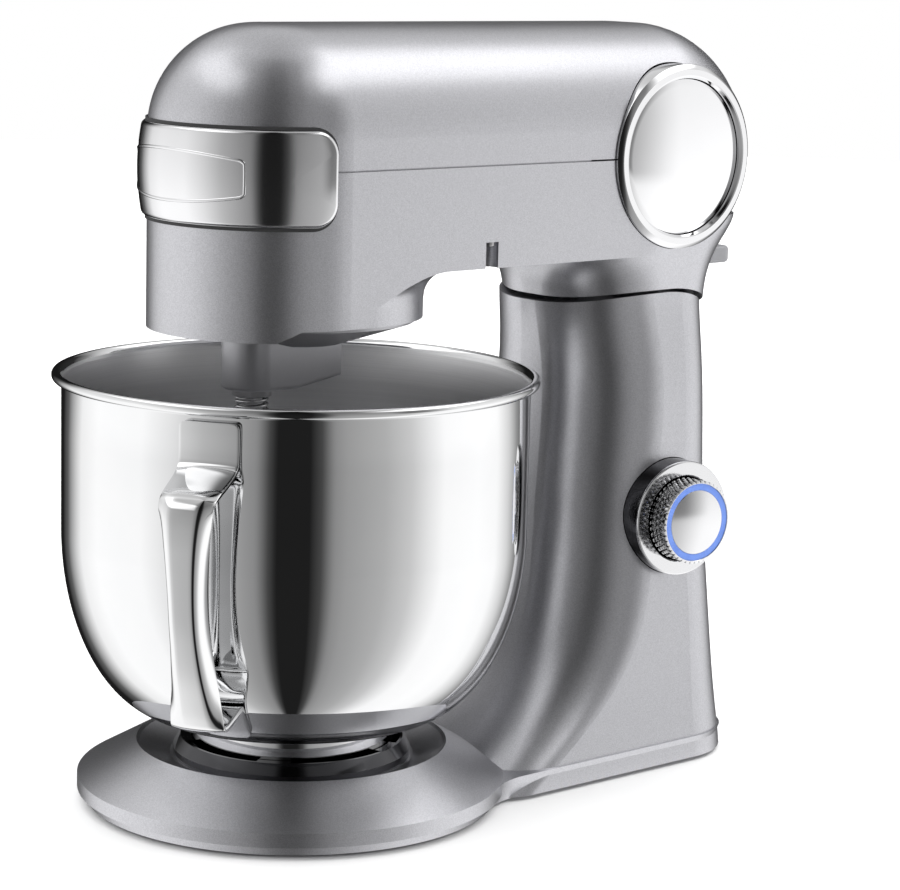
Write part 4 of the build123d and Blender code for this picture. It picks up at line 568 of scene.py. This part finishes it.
# %% Bowl
BOWL_RADIUS = 107.5
BOWL_FLAT_RADIUS = 58.8
BOWL_SHOULDER_HEIGHT = 129.0
BOWL_SHEET = 1.2
BEAD_RADIUS = 2.2
INSIDE_FLOOR_RADIUS = 59.5
BRUSHING_BELOW_RIM = 2.6
bowl_low, bowl_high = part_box("bowl_shell")
BOWL_BOTTOM = bowl_low.z / MM
BOWL_TOP = bowl_high.z / MM


def bowl_side(inset, steps=44):
    """The bowl's side from the bottom's edge up to the straight wall."""
    points = []
    for i in range(steps + 1):
        angle = math.pi / 2 * i / steps
        swell = BOWL_RADIUS - inset - BOWL_FLAT_RADIUS
        depth = BOWL_SHOULDER_HEIGHT - BOWL_BOTTOM - inset
        points.append((BOWL_FLAT_RADIUS + swell * math.sin(angle),
                       BOWL_SHOULDER_HEIGHT - depth * math.cos(angle)))
    return points


def build_bowl():
    """The whole sheet as one closed turned skin."""
    bead = (BOWL_RADIUS + 2.3, BOWL_TOP - BEAD_RADIUS)
    outside = [(0, BOWL_BOTTOM), (30, BOWL_BOTTOM)] + bowl_side(0)
    outside += [(BOWL_RADIUS, 150), (BOWL_RADIUS, 175), (BOWL_RADIUS, bead[1] - 3.2),
                (BOWL_RADIUS + 0.2, bead[1] - 2.3)]
    rim = arc(bead, BEAD_RADIUS, -125, 150, 22)
    inner = BOWL_RADIUS - BOWL_SHEET
    inside = [(inner + 0.5, bead[1] - 0.2), (inner, bead[1] - 2.0), (inner, 175), (inner, 150)]
    inside += list(reversed(bowl_side(BOWL_SHEET)))
    inside += [(30, BOWL_BOTTOM + BOWL_SHEET), (0, BOWL_BOTTOM + BOWL_SHEET)]
    bowl = lathe("bowl", outside + rim + inside, Matrix.Translation(BOWL_AXIS), 256, 60)
    install(bowl, "bowl", "polished_steel", "polished_steel", "bowl_shell")
    bowl.data.materials.append(FINISHES["brushed_inside"])
    for face in bowl.data.polygons:
        centre = face.center - BOWL_AXIS
        flat = Vector((centre.x, centre.y, 0))
        on_floor = flat.length < INSIDE_FLOOR_RADIUS * MM and face.normal.z > 0
        faces_in = face.normal.dot(flat) < 0 or on_floor
        if faces_in and centre.z < (BOWL_TOP - BRUSHING_BELOW_RIM) * MM:
            face.material_index = 1
    return bowl


build_bowl()

# %% [markdown]
# ## The handle
# The handle is one strip of thick polished sheet, bent to shape. A tab with round corners is welded
# to the bowl. The strip leaves it at a soft shoulder, drops as the grip, and folds back to a lower
# weld. The grip's long edges curl back towards the bowl so that they don't cut the hand, and that
# gives it a hollow-backed section. A grid of points along and across the strip makes that easily.

# %% Handle
HANDLE_TURN = 32.4
# Distance from the bowl's axis, height, half the width, and how far the edges curl back.
HANDLE_LINE = [(109.2, 194.8, 13.4, 0.0), (109.2, 190.5, 13.6, 0.0), (109.2, 180.5, 13.6, 0.0),
               (110.3, 176.0, 13.6, 0.0), (116.0, 172.6, 13.4, 0.3), (128.5, 168.3, 13.0, 0.8),
               (134.6, 165.6, 12.7, 1.8), (138.3, 160.5, 12.4, 3.6), (139.6, 150.0, 11.6, 6.0),
               (139.4, 138.0, 10.6, 7.6), (138.2, 124.0, 9.8, 8.4), (136.6, 112.0, 9.7, 8.4),
               (134.0, 101.0, 10.0, 7.8), (130.4, 89.0, 10.8, 6.2), (125.6, 77.0, 11.6, 4.0),
               (121.4, 67.5, 12.2, 1.6), (118.6, 63.2, 12.4, 0.6), (114.0, 62.6, 12.4, 0.2),
               (104.0, 65.0, 12.2, 0.1), (97.6, 66.4, 11.8, 0.0), (94.6, 65.6, 11.5, 0.0),
               (90.4, 60.4, 11.2, 0.0), (85.2, 54.4, 11.0, 0.0), (80.8, 50.2, 10.6, 0.0)]
HANDLE_ACROSS = 20
HANDLE_SHEET = 2.3


def smooth_rows(rows, steps):
    """A Catmull-Rom line through rows of numbers, the same number of steps in each span."""
    ends = [rows[0]] + rows + [rows[-1]]
    out = []
    for a, b, c, d in zip(ends, ends[1:], ends[2:], ends[3:]):
        for i in range(steps):
            t = i / steps
            out.append([0.5 * (2 * q + (r - p) * t + (2 * p - 5 * q + 4 * r - s) * t * t
                               + (3 * q - p - 3 * r + s) * t ** 3) for p, q, r, s in zip(a, b, c, d)])
    return out + [list(rows[-1])]


def build_handle():
    """The strip as a grid, thickened, with its corners softened."""
    line = smooth_rows(HANDLE_LINE, 6)
    shape = bmesh.new()
    turn = Matrix.Rotation(math.radians(HANDLE_TURN - 90), 3, "Z")
    rows = []
    for n, (reach, height, half, curl) in enumerate(line):
        before, after = line[max(n - 1, 0)], line[min(n + 1, len(line) - 1)]
        run, rise = after[0] - before[0], after[1] - before[1]
        length = math.hypot(run, rise) or 1.0
        outward = (-rise / length, run / length)
        near_end = min(n, len(line) - 1 - n) / 4.0
        if near_end < 1.0:
            half -= 3.4 * (1 - math.sqrt(max(0.0, 1 - (1 - near_end) ** 2)))
        row = []
        for i in range(HANDLE_ACROSS + 1):
            share = 2 * i / HANDLE_ACROSS - 1
            bend = max(0.0, abs(share) - 0.45) / 0.55
            wrap = (share * half) ** 2 / (2 * max(reach, 60))
            back = curl * bend * bend * (1.35 - 0.35 * bend) + wrap
            side = share * half * (1 - 0.03 * curl * bend * bend)
            point = Vector((reach - outward[0] * back, side, height - outward[1] * back)) * MM
            row.append(shape.verts.new(turn @ point + BOWL_AXIS))
        rows.append(row)
    skin(shape, rows, closed_columns=False)
    handle = finished_mesh("handle", shape, 180)
    thick = handle.modifiers.new("sheet", "SOLIDIFY")
    thick.thickness = HANDLE_SHEET * MM
    thick.offset = 0.0
    soft = handle.modifiers.new("soft_edges", "BEVEL")
    soft.width = 0.7 * MM
    soft.segments = 3
    soft.limit_method = "ANGLE"
    soft.angle_limit = math.radians(50)
    return install(handle, "bowl", "polished_steel", "polished_steel", "bowl_handle")


build_handle()

# %% [markdown]
# ## The outlet cover
# The chrome band on the nose is a moulding that wraps round the front of the head. It is barrelled a
# little from top to bottom, its outline has round corners and its edge rolls over, and a thin raised
# line frames a blank plaque. The outline is shrunk ring by ring towards its middle line, and each ring
# is wrapped round the nose.

# %% Outlet cover
NOSE_RADIUS = 57.0
COVER_PROUD = 4.3
COVER_BARREL = 2.0
COVER_CORNER = 10.0
COVER_EDGE = 2.0
COVER_BACK = 1.3
COVER_RADIUS = NOSE_RADIUS + COVER_PROUD
PLAQUE_DEGREES = 40.8
PLAQUE_STRAIGHT = 0.955
PLAQUE_CORNER = 2.0
PLAQUE_END_HALF = 5.6
PLAQUE_ARCH = 3.6
LINE_HALF_WIDTH = 0.75
LINE_HEIGHT = 0.5
cover_low, cover_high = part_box("port_cover")
COVER_MIDDLE = (cover_low.z + cover_high.z) / 2
COVER_HALF_HEIGHT = (cover_high.z - cover_low.z) / 2 / MM - 0.05
COVER_AXIS = Vector((0, cover_low.y + COVER_RADIUS * MM, 0))
COVER_REACH = math.acos((COVER_AXIS.y - cover_high.y) / MM / COVER_RADIUS) * COVER_RADIUS


def on_nose(along, height, radius):
    """A point on the nose's cylinder: arc length and height from the cover's middle, in mm."""
    angle = along / COVER_RADIUS
    place = Vector((math.sin(angle) * radius, -math.cos(angle) * radius, height)) * MM
    return place + COVER_AXIS + Vector((0, 0, COVER_MIDDLE))


def cover_radius(height):
    """The barrelled face's radius at a height from the middle."""
    return COVER_RADIUS - COVER_BARREL * (height / COVER_HALF_HEIGHT) ** 2


def cover_outline(inset, per_side=72, per_corner=10):
    """Points of the round-cornered outline, shrunk by an inset."""
    half_long, half_high = COVER_REACH - inset, COVER_HALF_HEIGHT - inset
    corner = max(COVER_CORNER - inset, 0.02)
    points = []
    for sign_x, sign_z, start in ((1, 1, 0), (-1, 1, 90), (-1, -1, 180), (1, -1, 270)):
        centre = (sign_x * (half_long - corner), sign_z * (half_high - corner))
        points += arc(centre, corner, start, start + 90, per_corner)
        far = {0: -(half_long - corner), 180: half_long - corner}.get(start)
        if far is not None:
            near, level = points[-1]
            points += [(near + (far - near) * i / per_side, level) for i in range(1, per_side)]
    return points


def build_cover():
    """Rings from the rolled edge to the middle, with a wall and a hollow back."""
    shape = bmesh.new()
    rows = []
    for outline in (cover_outline(COVER_EDGE), cover_outline(0)):
        rows.append([shape.verts.new(on_nose(a, h, NOSE_RADIUS + COVER_BACK)) for a, h in outline])
    for i in range(7):
        angle = math.pi / 2 * i / 6
        inset = COVER_EDGE - COVER_EDGE * math.cos(angle)
        drop = COVER_EDGE * 0.75 * (1 - math.sin(angle))
        outline = cover_outline(inset)
        rows.append([shape.verts.new(on_nose(a, h, cover_radius(h) - drop)) for a, h in outline])
    inner = cover_outline(COVER_EDGE)
    straight = COVER_REACH - COVER_HALF_HEIGHT
    for share in (0.85, 0.7, 0.55, 0.4, 0.25, 0.12, 0.0):
        row = []
        for a, h in inner:
            core = max(-straight, min(straight, a))
            place = on_nose(core + (a - core) * share, h * share, cover_radius(h * share))
            row.append(shape.verts.new(place))
        rows.append(row)
    skin(shape, rows)
    bmesh.ops.remove_doubles(shape, verts=rows[-1], dist=0.02 * MM)
    cover = finished_mesh("outlet_cover", shape, 50)
    return install(cover, "outlet_cover", "chrome", "satin_chrome", "port_cover")


def build_plaque():
    """The thin raised frame of the blank plaque, higher in its middle than at its ends."""
    reach = math.radians(PLAQUE_DEGREES) * COVER_RADIUS
    end = reach * PLAQUE_STRAIGHT
    corner = [(end + PLAQUE_CORNER * math.sin(math.radians(t)),
               PLAQUE_END_HALF + PLAQUE_CORNER * math.cos(math.radians(t))) for t in (20, 45, 70)]
    path = []
    for sign in (1, -1):
        for i in range(49):
            a = sign * reach * (1 - 2 * i / 48) * PLAQUE_STRAIGHT
            arch = PLAQUE_ARCH * (1 - (a / reach) ** 2)
            path.append((a, sign * (PLAQUE_END_HALF + PLAQUE_CORNER + arch)))
        path += [(-sign * a, sign * h) for a, h in corner]
        path += [(-sign * (end + PLAQUE_CORNER), sign * h) for h in (3.0, 0.0, -3.0)]
        path += [(-sign * a, -sign * h) for a, h in reversed(corner)]
    shape = bmesh.new()
    rows = []
    for n, (a, h) in enumerate(path):
        ahead, behind = path[(n + 1) % len(path)], path[n - 1]
        run, rise = ahead[0] - behind[0], ahead[1] - behind[1]
        length = math.hypot(run, rise) or 1.0
        row = []
        for i in range(10):
            angle = 2 * math.pi * i / 10
            sideways, lift = LINE_HALF_WIDTH * math.cos(angle), LINE_HEIGHT * math.sin(angle)
            beside = (a - rise / length * sideways, h + run / length * sideways)
            row.append(shape.verts.new(on_nose(*beside, cover_radius(h) + lift)))
        rows.append(row)
    skin(shape, rows, closed_rows=True)
    plaque = finished_mesh("plaque_frame", shape, 180)
    dress(plaque, "satin_chrome")
    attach(plaque, "outlet_cover")
    return plaque


build_cover()
build_plaque()

# %% [markdown]
# ## Side discs
# A broad chrome ring and a domed mirror sit on each side of the head's tail. The ring has a wide
# bevel outside, a flat land and a small inner bevel, so it draws three fine highlights, and a narrow
# groove parts it from the dome.

# %% Side discs
DISC_RADIUS = 44.3
MIRROR_RADIUS = 37.2
DOME_RISE = 2.6
DOME_STEPS = 24


def build_disc(side, sign):
    """One ring and one domed mirror, turned about the x axis."""
    low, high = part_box("side_ring_" + side)
    centre = Vector((0, (low.y + high.y) / 2, (low.z + high.z) / 2))
    back, front = sorted((abs(low.x) / MM, abs(high.x) / MM))
    place = axis_place(centre, (sign, 0, 0))
    outline = [(MIRROR_RADIUS + 0.3, back), (DISC_RADIUS - 0.4, back), (DISC_RADIUS, front - 2.4),
               (DISC_RADIUS - 0.15, front - 1.9), (DISC_RADIUS - 1.9, front - 0.35),
               (DISC_RADIUS - 2.5, front), (MIRROR_RADIUS + 1.8, front),
               (MIRROR_RADIUS + 1.2, front - 0.25), (MIRROR_RADIUS + 0.3, front - 1.5)]
    ring = lathe("side_ring_" + side + "_trim", outline, place, 192, 20)
    install(ring, "head", "chrome", "chrome", "side_ring_" + side)
    dome_low, dome_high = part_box("side_mirror_" + side)
    top = max(abs(dome_low.x), abs(dome_high.x)) / MM
    rim = top - DOME_RISE
    ball = (MIRROR_RADIUS ** 2 + DOME_RISE ** 2) / (2 * DOME_RISE)
    outline = [(0, back), (MIRROR_RADIUS - 0.2, back), (MIRROR_RADIUS, rim - 0.7),
               (MIRROR_RADIUS - 0.15, rim - 0.2)]
    for i in range(1, DOME_STEPS + 1):
        radius = (MIRROR_RADIUS - 0.4) * (1 - i / DOME_STEPS)
        outline.append((radius, top - ball + math.sqrt(ball ** 2 - radius ** 2)))
    dome = lathe("side_dome_" + side, outline, place, 192, 30)
    install(dome, "head", "mirror", "mirror", "side_mirror_" + side)


build_disc("right", 1)
build_disc("left", -1)

# %% [markdown]
# ## The speed dial
# A black chromed drum with a bright face carries a knob. The knob's skirt is cut in coarse square
# teeth, row upon row, each row half a tooth round from the last, and its front flange is scalloped.
# A lit ring and a domed cap fill the flange. Radius as a function of angle and depth makes the teeth.

# %% Dial
DIAL = next(joint for joint in frame["record"]["behaviour"]["joints"] if joint["name"] == "speed_dial")
DIAL_PLACE = axis_place(Vector(DIAL["pos_m"]), DIAL["axis"])
# Heights are along the knob's axis from the drum's face.
KNOB_RADIUS = 20.5
KNOB_BACK = -12.0
KNOB_FRONT = 11.1
KNOB_TEETH = 40
KNOB_ROWS = 4
TEETH_BACK = -2.4
TEETH_PITCH = 2.75
FLANGE_BACK = 8.9
FLANGE_SCALLOPS = 44
CAP_RECESS = 4.0
BEZEL_RADIUS = 28.3
KNOB_FACE = [(19.6, KNOB_FRONT), (19.2, KNOB_FRONT), (19.05, KNOB_FRONT - 0.2),
             (19.05, KNOB_FRONT - CAP_RECESS), (0, KNOB_FRONT - CAP_RECESS)]


def saw(value):
    """Rises from 0 to 1 at the middle of each whole step and falls again."""
    part = value - math.floor(value)
    return 1 - abs(2 * part - 1)


def knob_radius(turn, depth):
    """The skirt's radius at a share of a turn and a height above the drum's face."""
    if depth > FLANGE_BACK:
        return KNOB_RADIUS - 0.9 * max(0.0, 1 - 2.6 * saw(turn * FLANGE_SCALLOPS))
    row = (depth - TEETH_BACK) / TEETH_PITCH
    tooth = min(saw(turn * KNOB_TEETH + 0.5 * math.floor(row)), saw(row))
    return KNOB_RADIUS - 2.2 + 1.9 * min(1.0, 2.1 * tooth)


def knob_ring(shape, radii, depth):
    """Corners round the dial's axis at one height, with a radius for each."""
    corners = []
    for i, radius in enumerate(radii):
        angle = 2 * math.pi * i / len(radii)
        corner = Vector((radius * math.cos(angle), radius * math.sin(angle), depth)) * MM
        corners.append(shape.verts.new(DIAL_PLACE @ corner))
    return corners


def build_knob():
    """The knurled skirt as a grid of rings, closed front and back."""
    shape = bmesh.new()
    columns = KNOB_TEETH * 10
    depths = [KNOB_BACK, TEETH_BACK]
    depths += [TEETH_BACK + TEETH_PITCH * i / 8 for i in range(1, 8 * KNOB_ROWS + 1)]
    depths += [8.65, 8.95, 9.4, KNOB_FRONT - 0.5, KNOB_FRONT - 0.15]
    rows = []
    for depth in depths:
        radii = [knob_radius(i / columns, depth) for i in range(columns)]
        rows.append(knob_ring(shape, radii, depth))
    for radius, depth in KNOB_FACE:
        rows.append(knob_ring(shape, [radius] * (columns if radius else 1), depth))
    rows.insert(0, knob_ring(shape, [0], KNOB_BACK))
    skin(shape, rows)
    knob = finished_mesh("knob_skirt", shape, 30)
    return install(knob, "dial", "chrome", "chrome", "dial_knob")


build_knob()
face_outline = [(KNOB_RADIUS + 0.7, -1.2), (BEZEL_RADIUS, -1.2), (BEZEL_RADIUS, -0.75),
                (BEZEL_RADIUS - 0.2, -0.3), (BEZEL_RADIUS - 0.8, 0.0),
                (KNOB_RADIUS + 1.2, 0.0), (KNOB_RADIUS + 0.8, -0.3)]
face_ring = lathe("dial_face_ring", face_outline, DIAL_PLACE, 160, 25)
install(face_ring, "stand", "chrome", "satin_chrome", "dial_trim_ring")
cap_edge, cap_rise, cap_radius = KNOB_FRONT - 0.3, 1.4, 15.85
cap_ball = (cap_radius ** 2 + cap_rise ** 2) / (2 * cap_rise)
cap_outline = [(0, KNOB_FRONT - CAP_RECESS), (cap_radius, KNOB_FRONT - CAP_RECESS),
               (cap_radius, cap_edge - 0.25)]
cap_outline += [(r, cap_edge + cap_rise - cap_ball + math.sqrt(cap_ball ** 2 - r ** 2))
                for r in ((cap_radius - 0.2) * (1 - i / 16) for i in range(17))]
cap_dome = lathe("dial_cap_dome", cap_outline, DIAL_PLACE, 128, 30)
install(cap_dome, "dial", "chrome", "satin_chrome", "dial_cap")

# %% [markdown]
# ## Shaft spring
# A coil spring keeps the beater pressed down on its cross pin. The CAD has a plain stack in its
# place. A circle swept up a helix is the real thing.

# %% Spring
SPRING_WIRE_RADIUS = 0.75
SPRING_TURNS = 6


def build_spring():
    """Wire swept along a helix, with its end coils closed up flat."""
    low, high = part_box("shaft_spring")
    centre = (low + high) / 2
    wire = SPRING_WIRE_RADIUS * MM
    coil = (high.x - low.x) / 2 - wire
    steps, sides = 32, 8
    rise = high.z - low.z - 2 * wire
    shape = bmesh.new()
    rows = []
    for n in range(SPRING_TURNS * steps + 1):
        angle = 2 * math.pi * n / steps
        share = n / (SPRING_TURNS * steps)
        # The first and last eighth of the wire climb slowly, which closes up the end coils.
        eased = min(max((share - 0.12) / 0.76, 0.0), 1.0) * 0.8 + share * 0.2
        heading = Vector((math.cos(angle), math.sin(angle), 0))
        core = Vector((centre.x, centre.y, low.z + wire + rise * eased)) + heading * coil
        row = []
        for side in range(sides):
            turn = 2 * math.pi * side / sides
            outward, upward = heading * (wire * math.cos(turn)), UP * (wire * math.sin(turn))
            row.append(shape.verts.new(core + outward + upward))
        rows.append(row)
    skin(shape, rows)
    shape.faces.new(rows[0])
    shape.faces.new(rows[-1])
    spring = finished_mesh("beater_spring", shape, 60)
    return install(spring, "beater_drive", "bright_steel", "bright_steel", "shaft_spring")


build_spring()
